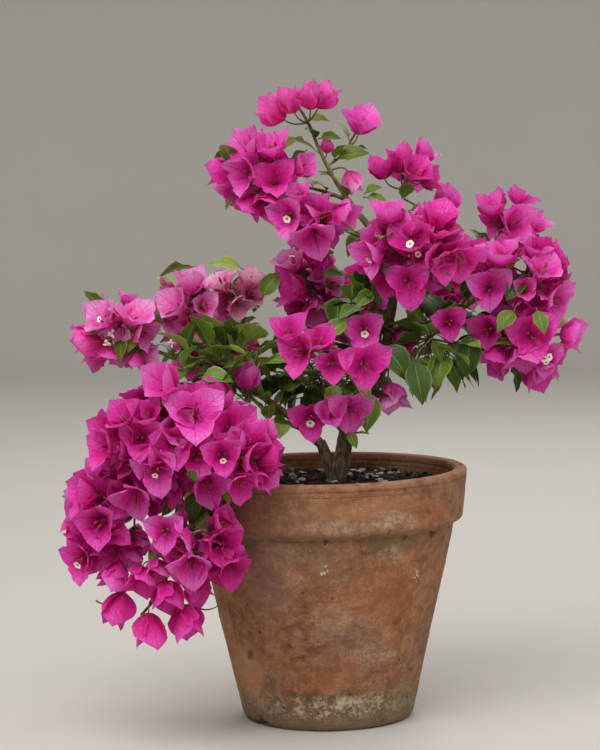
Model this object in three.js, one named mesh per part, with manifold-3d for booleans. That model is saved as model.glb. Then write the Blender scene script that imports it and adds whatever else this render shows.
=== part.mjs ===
// A bougainvillea in full flower, grown as a small bush in a clay pot. One short trunk forks just above
// the soil. Its leader leans right and then arches back to the left, its left stem carries sprays that
// reach out level, and one of them tumbles over the rim and hangs down beside the pot.
//
// Millimetres, +Z up. The origin is the centre of the pot's underside, and -Y is the side with the hanging
// spray.

import * as THREE from "three";
import { mergeVertices } from "three/addons/utils/BufferGeometryUtils.js";
import Module from "manifold-3d";

const wasm = await Module();
wasm.setup();

// Driving dimensions

const GAP = 0.3; // between neighbouring pieces

const POT = {
  height: 262,
  footRadius: 90,
  bodyTopRadius: 134.8, // just under the band
  bandHeight: 52,
  bandFootRadius: 144.4,
  rimRadius: 150,
  rimDraft: 0.4, // how much narrower the band is just under its lip
  mouthRadius: 135.6,
  mouthDraft: 1.2, // how much narrower the inside is at the foot of the band
  wall: 12.3,
  floor: 15,
  chamfer: 4.5, // slant under the band, and the worn foot
  lipRounding: 2.5,
  drainHoles: 3,
  drainRadius: 7,
  drainCircle: 46, // the drain holes stand on this radius
  drainSides: 14,
  chip: { bearing: 218, size: [9, 15, 4.5], sides: [9, 6] }, // out of the foot, at the front left
  sides: 48,
};

const SOIL = { surface: 246, edgeDrop: 3, flatRadius: 40, sides: 32 };

// The trunk is two stems grown together. base is where each leaves the soil, and tip is where it forks.
const TRUNK = {
  main: { base: [10, 0], tip: [24, -1, 303], radius: 9.2, tipRadius: 7.6 },
  left: { base: [1, 2], tip: [-5, 1, 289], radius: 6.6, tipRadius: 5.4 },
  lean: 4, // how far each stem bows out of the straight line
  flare: 1.45, // root flare at the soil, as a share of the radius
  flareHeight: 16,
  sunk: 4, // how far the stems are carried below the soil before they are cut flat
  sides: 10,
};

// A leaf's blade, and a flower's three bracts: length from base to tip, and the rest as shares of that length
const LEAF = { length: 54, halfWidth: 0.27, widest: 0.42, droop: 0.16, thickness: 0.02 };
const FLOWER = { length: 38, spread: 0.6, rise: 0.78, foldSpread: 0.46, foldRise: 0.42, thickness: 0.03 };

// How a mass fills its space. spacing is between neighbours on its outside. outermost is where a flower or
// leaf may start, as a share of the mass's reach. stray is how far it may point away from straight
// outwards, and room is the least distance between the middles of two.
const BLOSSOM = { spacing: 60, outermost: 0.68, stray: 0.5, room: 28 };
const LEAFAGE = { spacing: 43, outermost: 0.62, stray: 2.6, room: 17 };
const BRIM = 1.1; // tips may reach past a mass's nominal edge by this share
const INWARD_STEP = 0.06; // a shoot that doesn't fit moves inwards by this share
const SIZES = { largest: 1.04, shrink: 0.3 }; // shrink is how much smaller flowers and leaves are further in
const LEAF_ROLL = 0.6; // radians, the most that a leaf rolls about its midrib

const STEM = { far: 1.4, bow: 0.5, steps: 4, sides: 4 }; // a mass's own stem runs on past its middle by far
const TWIG = { radius: 1.3, tipRadius: 1.1, stalk: 12 }; // stalk runs from its last bend to its flower
const SHRINK = { bough: 0.9, stemEnd: 1.1 }; // a stem's radii, beside its bough's tip and its twigs
const CLEAR = { pot: 3, limb: 3.5, neighbour: 0.8, tip: 4 }; // how far a mass's pieces stay from each

const LIMB = { steps: 4, sides: 5 };
const ENTRY = { share: 0.86, step: 0.06, least: 0.2 }; // a bough's tip, between its mass's middle and edge

// The leader, in two lengths. Each limb starts on its parent, at a share of the parent's length. bend is
// how far its middle stands off the straight line, and radii are at its two ends.
const LEADER = [
  { name: "leader_low", on: ["trunk", 1], to: [71, -5, 416], bend: [9, 0, -9], radii: [6.8, 5.2] },
  { name: "leader_mid", on: ["leader_low", 1], to: [54, -3, 512], bend: [12, 0, 2], radii: [5, 4.1] },
];

// The masses of blossom and leaf, each with the bough that carries it. centre and reach are where the mass
// stands and how far it spreads along X, Y and Z. on, bend and radii are its bough's.
const MASSES = [
  // The arching top, and the side shoots that leave the leader on its way up
  { name: "crown_tip", centre: [-21, 0, 640], reach: [46, 36, 33],
    on: ["leader_mid", 1], bend: [-5, 0, -3], radii: [3.9, 2] },
  { name: "crown_side", centre: [54, 12, 623], reach: [32, 34, 32],
    on: ["crown_tip", 0.68], bend: [2, 0, -3], radii: [1.9, 1.5] },
  { name: "upper_left", centre: [-65, -12, 571], reach: [51, 46, 52],
    on: ["crown_tip", 0.3], bend: [0, -3, 3], radii: [2.6, 1.9] },
  { name: "upper_mid", centre: [-4, -30, 519], reach: [42, 40, 36],
    on: ["leader_mid", 0.9], bend: [0, -4, -3], radii: [2.6, 1.9] },
  { name: "upper_right", centre: [101, 85, 574], reach: [47, 42, 39],
    on: ["leader_mid", 0.8], bend: [4, 6, -4], radii: [3, 2] },
  { name: "right_front", centre: [93, -75, 489], reach: [61, 50, 55],
    on: ["leader_mid", 0.4], bend: [0, -6, -3], radii: [3.2, 2.2] },

  // The spray that reaches out to the right
  { name: "far_right_high", centre: [214, 5, 457], reach: [60, 57, 50],
    on: ["leader_low", 0.93], bend: [4, 0, -8], radii: [4.4, 2.8] },
  { name: "far_right_low", centre: [210, -5, 390], reach: [62, 54, 50],
    on: ["far_right_high", 0.45], bend: [2, -4, 4], radii: [2.8, 2] },
  { name: "right_top", centre: [205, 55, 523], reach: [40, 40, 43],
    on: ["far_right_high", 0.62], bend: [6, 4, -6], radii: [2.6, 1.9] },

  // The middle of the crown, front and back
  { name: "middle", centre: [-13, 50, 450], reach: [44, 50, 48],
    on: ["leader_low", 0.55], bend: [4, 6, -6], radii: [3, 2] },
  { name: "front_mid", centre: [12, -110, 392], reach: [58, 46, 42],
    on: ["leader_low", 0.3], bend: [6, -10, -8], radii: [3, 2] },
  { name: "front_low", centre: [15, -70, 324], reach: [45, 40, 36],
    on: ["trunk", 0.82], bend: [0, -4, -4], radii: [2.6, 1.9] },
  { name: "back_right", centre: [130, 110, 462], reach: [60, 56, 55],
    on: ["leader_low", 0.88], bend: [4, 4, -8], radii: [3.2, 2.1] },
  { name: "back_mid", centre: [30, 140, 420], reach: [60, 54, 52],
    on: ["leader_low", 0.42], bend: [2, 8, -8], radii: [3.4, 2.2] },

  // The level spray on the left
  { name: "left_tip", centre: [-208, 5, 410], reach: [64, 44, 46],
    on: ["left_stem", 1], bend: [4, 4, 12], radii: [5.2, 2.4] },
  { name: "left_mid", centre: [-144, 15, 432], reach: [40, 44, 48],
    on: ["left_tip", 0.66], bend: [-3, 4, -3], radii: [2.5, 1.9] },
  { name: "left_inner", centre: [-90, 60, 444], reach: [36, 46, 40],
    on: ["left_tip", 0.4], bend: [-4, 6, -3], radii: [2.8, 1.9] },
  { name: "back_left", centre: [-118, 110, 385], reach: [58, 52, 48],
    on: ["left_tip", 0.2], bend: [-2, 8, -6], radii: [3, 2] },

  // The spray that tumbles over the rim and hangs beside the pot
  { name: "cascade_top", centre: [-148, -112, 304], reach: [90, 62, 70],
    on: ["left_tip", 0.12], bend: [2, -4, 10], radii: [4.2, 3] },
  { name: "cascade_side", centre: [-72, -164, 294], reach: [37, 40, 46],
    on: ["cascade_top", 0.4], bend: [4, -6, 10], radii: [2.4, 1.8] },
  { name: "cascade_out", centre: [-212, -97, 228], reach: [60, 56, 68],
    on: ["cascade_top", 0.7], bend: [-22, 18, 34], radii: [2.8, 2] },
  { name: "cascade_in", centre: [-122, -138, 209], reach: [54, 46, 58],
    on: ["cascade_top", 0.84], bend: [-10, -24, 16], radii: [2.6, 1.9] },
  { name: "cascade_low", centre: [-178, -112, 148], reach: [64, 50, 62],
    on: ["cascade_top", 0.9], bend: [-14, 20, 30], radii: [2.6, 1.9] },

  // The leafy shoots inside the crown
  { name: "green_left", centre: [-104, -42, 376], reach: [80, 56, 46],
    on: ["left_tip", 0.3], bend: [0, -6, 3], radii: [2.6, 1.9], leafy: true },
  { name: "green_centre", centre: [44, -22, 436], reach: [46, 50, 50],
    on: ["leader_low", 0.8], bend: [-2, -2, -3], radii: [2.4, 1.8], leafy: true },
  { name: "green_right", centre: [116, -32, 388], reach: [60, 56, 58],
    on: ["leader_low", 0.66], bend: [2, -4, -4], radii: [2.8, 2], leafy: true },
  { name: "green_back", centre: [-8, 80, 350], reach: [76, 58, 48],
    on: ["trunk", 0.9], bend: [-2, 6, -5], radii: [2.6, 1.9], leafy: true },
];

// Materials

const clay = new THREE.MeshStandardMaterial({ color: 0xa4684a, roughness: 0.92, metalness: 0 });
const earth = new THREE.MeshStandardMaterial({ color: 0x2c241f, roughness: 0.98, metalness: 0 });
const bark = new THREE.MeshStandardMaterial({ color: 0x6b5640, roughness: 0.9, metalness: 0 });
const greenwood = new THREE.MeshStandardMaterial({ color: 0x5c5a36, roughness: 0.75, metalness: 0 });
const bract = new THREE.MeshStandardMaterial({ color: 0xc2178a, roughness: 0.62, metalness: 0 });
const foliage = new THREE.MeshStandardMaterial({ color: 0x4a7330, roughness: 0.5, metalness: 0 });

// Small helpers

const vec = (p) => new THREE.Vector3(...p);
const between = (a, b, share) => a.clone().lerp(b, share);
const GOLDEN_ANGLE = Math.PI * (3 - Math.sqrt(5)); // turns about an axis by this stay evenly apart

// A small generator that gives the same run of numbers from 0 to 1 for the same seed.
function seeded(seed) {
  let state = seed;
  return () => {
    state = (state * 48271) % 2147483647;
    return state / 2147483647;
  };
}

function solidOf(geometry) {
  geometry.deleteAttribute("normal");
  geometry.deleteAttribute("uv");
  const merged = mergeVertices(geometry, 1e-4);
  const vertProperties = merged.attributes.position.array;
  const triVerts = new Uint32Array(merged.index.array);
  return new wasm.Manifold(new wasm.Mesh({ numProp: 3, vertProperties, triVerts }));
}

function meshOf(name, solid, material) {
  const made = solid.getMesh();
  const geometry = new THREE.BufferGeometry();
  geometry.setAttribute("position", new THREE.BufferAttribute(made.vertProperties, 3));
  geometry.setIndex(new THREE.BufferAttribute(made.triVerts, 1));
  const flat = geometry.toNonIndexed();
  flat.computeVertexNormals();
  const mesh = new THREE.Mesh(flat, material);
  mesh.name = name;
  return mesh;
}

// A closed tube with flat ends, along a list of points, with a radius at each.
function tube(path, radii, sides) {
  const last = path.length - 1;
  const points = [];
  const index = [];
  const across = new THREE.Vector3(0.31, 0.67, 0.55); // any direction that no limb runs along
  path.forEach((point, k) => {
    const along = path[Math.min(k + 1, last)].clone().sub(path[Math.max(k - 1, 0)]).normalize();
    across.addScaledVector(along, -across.dot(along)).normalize();
    const side = along.clone().cross(across);
    for (let s = 0; s < sides; s++) {
      const turn = (2 * Math.PI * s) / sides;
      points.push(
        point
          .clone()
          .addScaledVector(across, radii[k] * Math.cos(turn))
          .addScaledVector(side, radii[k] * Math.sin(turn)),
      );
    }
  });
  for (let k = 0; k < last; k++) {
    for (let s = 0; s < sides; s++) {
      const next = (s + 1) % sides;
      const [a, b, c, d] = [k * sides + s, k * sides + next, (k + 1) * sides + next, (k + 1) * sides + s];
      index.push(a, b, c, a, c, d);
    }
  }
  for (let s = 1; s < sides - 1; s++) {
    const end = last * sides;
    index.push(0, s + 1, s, end, end + s, end + s + 1);
  }
  return solidOf(new THREE.BufferGeometry().setFromPoints(points).setIndex(index));
}

function lathe(profile, sides) {
  const points = profile.map(([r, z]) => new THREE.Vector2(r, z));
  return solidOf(new THREE.LatheGeometry(points, sides).rotateX(Math.PI / 2));
}

// Keeps the main piece of a fused solid: loose scraps are dropped and sealed hollows are filled.
function mainPiece(solid) {
  return solid.decompose().reduce((a, b) => (b.volume() > a.volume() ? b : a));
}

// The pot: thrown clay with a thick band round its rim, a worn foot with one chip, and three drain holes

const bandFoot = POT.height - POT.bandHeight;
const bodyTop = bandFoot - POT.chamfer;

// The pot's outside at a height, for keeping the hanging spray clear of it.
function potRadius(z) {
  if (z > bodyTop) return POT.rimRadius;
  return POT.footRadius + ((POT.bodyTopRadius - POT.footRadius) * Math.max(z, 0)) / bodyTop;
}

const innerFloorRadius = POT.footRadius - POT.wall;
const innerWallTop = POT.mouthRadius - POT.mouthDraft;

function pot() {
  const outside = [
    [0, 0],
    [POT.footRadius - POT.chamfer, 0],
    [POT.footRadius, POT.chamfer],
    [POT.bodyTopRadius, bodyTop],
    [POT.bandFootRadius, bandFoot],
    [POT.rimRadius - POT.rimDraft, POT.height - 2 * POT.lipRounding],
    [POT.rimRadius, POT.height - POT.lipRounding],
    [POT.rimRadius - POT.lipRounding, POT.height],
  ];
  const inside = [
    [POT.mouthRadius + POT.lipRounding, POT.height],
    [POT.mouthRadius, POT.height - POT.lipRounding],
    [innerWallTop, bandFoot],
    [innerFloorRadius, POT.floor],
    [0, POT.floor],
  ];
  let made = lathe([...outside, ...inside], POT.sides);
  for (let i = 0; i < POT.drainHoles; i++) {
    const turn = (2 * Math.PI * i) / POT.drainHoles;
    const hole = new THREE.CylinderGeometry(POT.drainRadius, POT.drainRadius, 3 * POT.floor, POT.drainSides)
      .rotateX(Math.PI / 2)
      .translate(POT.drainCircle * Math.cos(turn), POT.drainCircle * Math.sin(turn), 0);
    made = made.subtract(solidOf(hole));
  }
  const bearing = THREE.MathUtils.degToRad(POT.chip.bearing);
  const chip = new THREE.SphereGeometry(1, ...POT.chip.sides)
    .scale(...POT.chip.size)
    .rotateZ(bearing)
    .translate(Math.cos(bearing) * POT.footRadius, Math.sin(bearing) * POT.footRadius, 0);
  return made.subtract(solidOf(chip));
}

// The soil fills the pot to a finger's breadth under the rim, and falls a little towards the wall

function soil() {
  const edge = SOIL.surface - SOIL.edgeDrop;
  const edgeShare = (edge - bandFoot) / (POT.height - POT.lipRounding - bandFoot);
  const edgeRadius = innerWallTop + (POT.mouthRadius - innerWallTop) * edgeShare;
  const profile = [
    [0, POT.floor + GAP],
    [innerFloorRadius - GAP, POT.floor + GAP],
    [innerWallTop - 2 * GAP, bandFoot],
    [edgeRadius - 2 * GAP, edge],
    [SOIL.flatRadius, SOIL.surface],
    [0, SOIL.surface],
  ];
  return lathe(profile, SOIL.sides);
}

// The limbs. The trunk's two stems are grown together, and cut flat where they leave the soil

const soilLevel = SOIL.surface + GAP;

// Points along the curve that a limb follows from start to end, with its middle moved aside by bend.
function limbPath(start, end, bend, steps) {
  const control = between(start, end, 0.5).addScaledVector(bend, 2);
  return new THREE.QuadraticBezierCurve3(start, control, end).getPoints(steps);
}

const taper = (radii, steps) =>
  Array.from({ length: steps + 1 }, (_, k) => radii[0] + ((radii[1] - radii[0]) * k) / steps);

function stem({ base, tip, radius, tipRadius }) {
  const foot = vec([...base, soilLevel - TRUNK.sunk]);
  const path = limbPath(foot, vec(tip), vec([TRUNK.lean / 2, 0, 0]), LIMB.steps + 1);
  const radii = path.map((point) => {
    const share = (point.z - foot.z) / (tip[2] - foot.z);
    const flaring = THREE.MathUtils.clamp(1 - (point.z - soilLevel) / TRUNK.flareHeight, 0, 1);
    return (radius + (tipRadius - radius) * share) * (1 + (TRUNK.flare - 1) * flaring ** 2);
  });
  return { path, radii, sides: TRUNK.sides, solid: tube(path, radii, TRUNK.sides) };
}

const mainStem = stem(TRUNK.main);
const leftStem = stem(TRUNK.left);

function trunk() {
  const depth = 5 * TRUNK.sunk;
  const width = 8 * TRUNK.main.radius;
  const below = new THREE.BoxGeometry(width, width, depth).translate(0, 0, soilLevel - depth / 2);
  return mainPiece(mainStem.solid.add(leftStem.solid).subtract(solidOf(below)));
}

// Every limb that is already in place. Those that follow are cut clear of it.
const placed = new Map([
  ["trunk", mainStem],
  ["left_stem", leftStem],
]);

function pointAlong(limb, share) {
  const steps = limb.path.length - 1;
  const k = Math.min(Math.floor(share * steps), steps - 1);
  return between(limb.path[k], limb.path[k + 1], share * steps - k);
}

const headingOf = (limb) => limb.path.at(-1).clone().sub(limb.path.at(-2)).normalize();

// Where a bough's tip lies inside the mass that it carries: towards the bough's root, as near the edge as
// the mass's own space allows.
function entryPoint(mass, root) {
  const towards = root.clone().sub(mass.centre);
  const edge = 1 / towards.clone().divide(mass.reach).length();
  for (let share = ENTRY.share; share > ENTRY.least; share -= ENTRY.step) {
    const tip = mass.centre.clone().addScaledVector(towards, edge * share);
    if (cellMargin(mass, tip) > CLEAR.tip) return tip;
  }
  throw new Error(mass.name + " has no room for its bough's tip");
}

// Cuts a solid clear of every limb that is in place, so that it ends GAP short of the one that it grows from.
function clearOfLimbs(solid) {
  let cut = solid;
  for (const limb of placed.values()) {
    const path = [...limb.path.slice(0, -1), limb.path.at(-1).clone().addScaledVector(headingOf(limb), GAP)];
    const radii = limb.radii.map((radius) => radius + GAP);
    cut = cut.subtract(tube(path, radii, limb.sides));
  }
  return mainPiece(cut);
}

// A limb towards a point, or else towards the mass that it carries.
function growLimb({ name, on: [parent, share], to, bend, radii }, mass) {
  const root = pointAlong(placed.get(parent), share);
  const path = limbPath(root, mass ? entryPoint(mass, root) : vec(to), vec(bend), LIMB.steps);
  const limb = { path, radii: taper(radii, LIMB.steps), sides: LIMB.sides };
  limb.solid = clearOfLimbs(tube(path, limb.radii, limb.sides));
  placed.set(name, limb);
  return limb;
}

// The space that a mass keeps to: an ellipsoid, cut by a plane between it and each neighbour

const masses = MASSES.map((mass, i) => ({
  ...mass,
  centre: vec(mass.centre),
  reach: vec(mass.reach),
  size: Math.cbrt(mass.reach[0] * mass.reach[1] * mass.reach[2]),
  seed: 1009 + 211 * i,
  growth: mass.leafy ? LEAFAGE : BLOSSOM,
}));

// How far inside the planes towards its neighbours a point of a mass lies.
function cellMargin(mass, point) {
  let margin = Infinity;
  for (const other of masses) {
    if (other === mass) continue;
    const towards = other.centre.clone().sub(mass.centre);
    const apart = towards.length();
    const plane = (apart ** 2 + mass.size ** 2 - other.size ** 2) / (2 * apart);
    margin = Math.min(margin, plane - point.clone().sub(mass.centre).dot(towards) / apart);
  }
  return margin;
}

function distanceToLimbs(point) {
  let nearest = Infinity;
  const closest = new THREE.Vector3();
  for (const { path, radii } of placed.values()) {
    for (let k = 0; k < path.length - 1; k++) {
      new THREE.Line3(path[k], path[k + 1]).closestPointToPoint(point, true, closest);
      nearest = Math.min(nearest, closest.distanceTo(point) - Math.max(radii[k], radii[k + 1]));
    }
  }
  return nearest;
}

function fits(mass, points) {
  return points.every((p) => {
    if (p.clone().sub(mass.centre).divide(mass.reach).length() > BRIM) return false;
    if (cellMargin(mass, p) < CLEAR.neighbour) return false;
    const inPot = p.z < POT.height + CLEAR.pot && Math.hypot(p.x, p.y) < potRadius(p.z) + CLEAR.pot;
    return !inPot && distanceToLimbs(p) > CLEAR.limb;
  });
}

// A closed solid along three-sided sections, root first. faces close its far end, from the last section's
// corners, numbered 0 to 2, and the points that follow them.
function sprig(sections, points, faces) {
  const last = 3 * (sections.length - 1);
  const index = [0, 2, 1];
  for (let ring = 0; ring < last; ring += 3) {
    for (let i = 0; i < 3; i++) {
      const next = (i + 1) % 3;
      index.push(ring + i, ring + next, ring + 3 + next, ring + i, ring + 3 + next, ring + 3 + i);
    }
  }
  index.push(...faces.flat().map((i) => last + i));
  return solidOf(new THREE.BufferGeometry().setFromPoints([...sections.flat(), ...points]).setIndex(index));
}

// The sections of a twig along its path. Its corners stay in line with a direction across its end.
function twigSections(path, across) {
  const radii = taper([TWIG.radius, TWIG.tipRadius], path.length - 1);
  return path.map((point, k) => {
    const along = path[Math.min(k + 1, path.length - 1)].clone().sub(path[Math.max(k - 1, 0)]).normalize();
    const first = across.clone().addScaledVector(along, -across.dot(along)).normalize();
    return [0, 1, 2].map((i) => {
      const corner = first.clone().applyAxisAngle(along, (i * 2 * Math.PI) / 3);
      return point.clone().addScaledVector(corner, radii[k]);
    });
  });
}

// One flower: three papery bracts that open from the end of a twig as a three-pointed cup. points holds
// each bract's tip with the fold after it, and then the heart of the cup

function flower(centre, axis, turn, size) {
  const length = FLOWER.length * size;
  const across = vec([0.3, 0.5, 0.8]).cross(axis).normalize().applyAxisAngle(axis, turn);
  const at = (angle, spread, rise) =>
    centre
      .clone()
      .addScaledVector(across.clone().applyAxisAngle(axis, angle), spread * length)
      .addScaledVector(axis, rise * length);
  const points = [0, 1, 2].flatMap((i) => {
    const angle = (i * 2 * Math.PI) / 3;
    const fold = at(angle + Math.PI / 3, FLOWER.foldSpread, FLOWER.foldRise);
    return [at(angle, FLOWER.spread, FLOWER.rise), fold];
  });
  points.push(at(0, 0, FLOWER.thickness));
  return { points, across };
}

function flowerSprig(path, { points, across }) {
  const heart = 9;
  const faces = [0, 1, 2].flatMap((i) => {
    const next = (i + 1) % 3;
    const [tip, fold, nextTip] = [3 + 2 * i, 4 + 2 * i, 3 + 2 * next];
    return [
      [i, fold, tip],
      [i, next, fold],
      [next, nextTip, fold],
      [heart, tip, fold],
      [heart, fold, nextTip],
    ];
  });
  return sprig(twigSections(path, across), points, faces);
}

// One leaf: a pointed blade on a short stalk, drooping towards its tip. points holds the ridge and the two
// edges where it is widest, and then its tip

function leaf(root, heading, turn, size) {
  const length = LEAF.length * size;
  const side = vec([0, 0, 1]).cross(heading).normalize();
  const up = heading.clone().cross(side).applyAxisAngle(heading, turn);
  side.applyAxisAngle(heading, turn);
  const at = (along, across, rise) =>
    root
      .clone()
      .addScaledVector(heading, along * length)
      .addScaledVector(side, across * length)
      .addScaledVector(up, rise * length)
      .add(vec([0, 0, -LEAF.droop * length * along ** 2]));
  const { widest, halfWidth, thickness } = LEAF;
  const points = [at(widest, 0, thickness), at(widest, -halfWidth, 0), at(widest, halfWidth, 0), at(1, 0, 0)];
  return { points, across: up };
}

function leafSprig(path, { points, across }) {
  const sections = [...twigSections(path, across), points.slice(0, 3)];
  const faces = [0, 1, 2].map((i) => [i, (i + 1) % 3, 3]);
  return sprig(sections, points.slice(3), faces);
}

// A mass grows from one stem. Shoot ends are dealt out evenly over its outside, and each is joined by a
// twig to the nearest wood that has already grown. An end carries a flower or a leaf

function shootEnds({ size, seed, growth }) {
  const random = seeded(seed);
  const count = Math.max(3, Math.round((4 * Math.PI * size ** 2) / growth.spacing ** 2));
  const start = random() * 2 * Math.PI;
  return Array.from({ length: count }, (_, i) => {
    const height = 1 - (2 * (i + 0.5)) / count;
    const ring = Math.sqrt(1 - height ** 2);
    const bearing = start + i * GOLDEN_ANGLE;
    const direction = vec([ring * Math.cos(bearing), ring * Math.sin(bearing), height]);
    const stray = vec([random() - 0.5, random() - 0.5, random() - 0.5]);
    const axis = direction.clone().addScaledVector(stray, growth.stray).normalize();
    return { direction, axis, turn: 2 * Math.PI * random() };
  });
}

// Moves a shoot end inwards, and makes what it carries a little smaller, until it fits.
function settle(mass, { direction, axis, turn }) {
  const { outermost } = mass.growth;
  for (let share = outermost; share > 0; share -= INWARD_STEP) {
    const point = mass.centre.clone().add(direction.clone().multiply(mass.reach).multiplyScalar(share));
    const size = SIZES.largest - SIZES.shrink * (outermost - share);
    const roll = (turn / Math.PI - 1) * LEAF_ROLL;
    const blade = mass.leafy ? leaf(point, axis, roll, size) : flower(point, axis, turn, size);
    if (fits(mass, samplesOf(point, blade))) return { point, axis, blade };
  }
  return null;
}

// The points that stand for a blade when its room is tested: its corners, and others between them.
function samplesOf(root, { points }) {
  const edges = points.slice(1).map((p, i) => between(p, points[i], 0.5));
  return [...points, ...edges, ...points.map((p) => between(p, root, 0.5))];
}

// The stem that a mass grows from. It starts where the bough ends, and runs through the mass's middle.
function massStem(mass, bough) {
  const start = bough.path.at(-1);
  const end = between(start, mass.centre, STEM.far);
  const turning = start.clone().addScaledVector(headingOf(bough), start.distanceTo(end) * STEM.bow);
  const path = new THREE.QuadraticBezierCurve3(start, turning, end).getPoints(STEM.steps);
  const radii = taper([bough.radii.at(-1) * SHRINK.bough, TWIG.radius * SHRINK.stemEnd], STEM.steps);
  return { path, solid: tube(path, radii, STEM.sides) };
}

function growMass(mass, bough) {
  const { path: stemPath, solid } = massStem(mass, bough);
  const pieces = [solid];
  const wood = stemPath.slice(1);
  const opened = [];
  const ends = shootEnds(mass)
    .map((shoot) => settle(mass, shoot))
    .filter(Boolean)
    .sort((a, b) => a.point.distanceTo(stemPath[0]) - b.point.distanceTo(stemPath[0]));
  for (const { point, axis, blade } of ends) {
    const middle = point.clone().addScaledVector(axis, FLOWER.length / 2);
    if (opened.some((other) => other.distanceTo(middle) < mass.growth.room)) continue;
    const neck = point.clone().addScaledVector(axis, -TWIG.stalk);
    const root = wood.reduce((a, b) => (b.distanceTo(neck) < a.distanceTo(neck) ? b : a));
    const bent = !mass.leafy && root.distanceTo(neck) > TWIG.stalk;
    const path = bent ? [root, neck, point] : [root, point];
    if (!fits(mass, [...path.slice(1), between(path[0], path[1], 0.5)])) continue;
    pieces.push(mass.leafy ? leafSprig(path, blade) : flowerSprig(path, blade));
    opened.push(middle);
    if (bent) wood.push(neck);
  }
  return clearOfLimbs(wasm.Manifold.union(pieces));
}

// Assembly. Each mass's bough takes the mass's name, and the masses grow once every limb is in place

const bush = new THREE.Group();
bush.add(meshOf("pot", pot(), clay));
bush.add(meshOf("soil", soil(), earth));
bush.add(meshOf("trunk", trunk(), bark));
for (const limb of LEADER) bush.add(meshOf(limb.name, growLimb(limb).solid, bark));
for (const mass of masses) bush.add(meshOf("bough_" + mass.name, growLimb(mass, mass).solid, greenwood));
for (const mass of masses) {
  const grown = growMass(mass, placed.get(mass.name));
  bush.add(meshOf("mass_" + mass.name, grown, mass.leafy ? foliage : bract));
}

export default bush;
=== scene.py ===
# A bougainvillea bush in full flower, in its clay pot: the looks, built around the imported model.
# Lengths are in millimetres, and a mesh turns them into Blender's metres when it is made.

import math

import bpy
import numpy as np
from mathutils import Matrix, Vector, noise


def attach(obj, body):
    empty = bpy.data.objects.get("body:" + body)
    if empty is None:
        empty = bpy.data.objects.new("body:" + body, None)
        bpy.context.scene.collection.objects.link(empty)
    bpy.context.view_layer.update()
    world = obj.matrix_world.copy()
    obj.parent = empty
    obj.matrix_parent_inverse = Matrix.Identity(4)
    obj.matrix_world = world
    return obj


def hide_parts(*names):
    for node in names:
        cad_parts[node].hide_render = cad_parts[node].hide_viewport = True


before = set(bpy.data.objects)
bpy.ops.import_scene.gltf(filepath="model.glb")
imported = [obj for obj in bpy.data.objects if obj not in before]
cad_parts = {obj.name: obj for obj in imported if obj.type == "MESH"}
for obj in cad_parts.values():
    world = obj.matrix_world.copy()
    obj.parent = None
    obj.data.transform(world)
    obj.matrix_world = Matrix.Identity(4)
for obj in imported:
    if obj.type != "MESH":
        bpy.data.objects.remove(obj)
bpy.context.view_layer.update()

# The studio: a pale seamless floor that curves up into a wall all round, a broad soft panel above the
# plant, fainter ones beside and behind it, and a camera with a long lens, 2.5 m away at the crown's height.

CAMERA = {"lens": 116.7, "away": 2.54, "high": 0.572, "down": 0.0832, "aside": 0.0092, "cant": -0.0202}
camera_data = bpy.data.cameras.new("camera")
camera_data.sensor_width = 36
camera_data.lens = CAMERA["lens"]
camera = bpy.data.objects.new("camera", camera_data)
camera.matrix_world = (
    Matrix.Translation((0, -CAMERA["away"], CAMERA["high"]))
    @ Matrix.Rotation(CAMERA["aside"], 4, "Z")
    @ Matrix.Rotation(math.pi / 2 - CAMERA["down"], 4, "X")
    @ Matrix.Rotation(CAMERA["cant"], 4, "Z")
)
bpy.context.collection.objects.link(camera)
bpy.context.scene.camera = camera
bpy.context.scene.view_settings.view_transform = "Standard"


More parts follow.
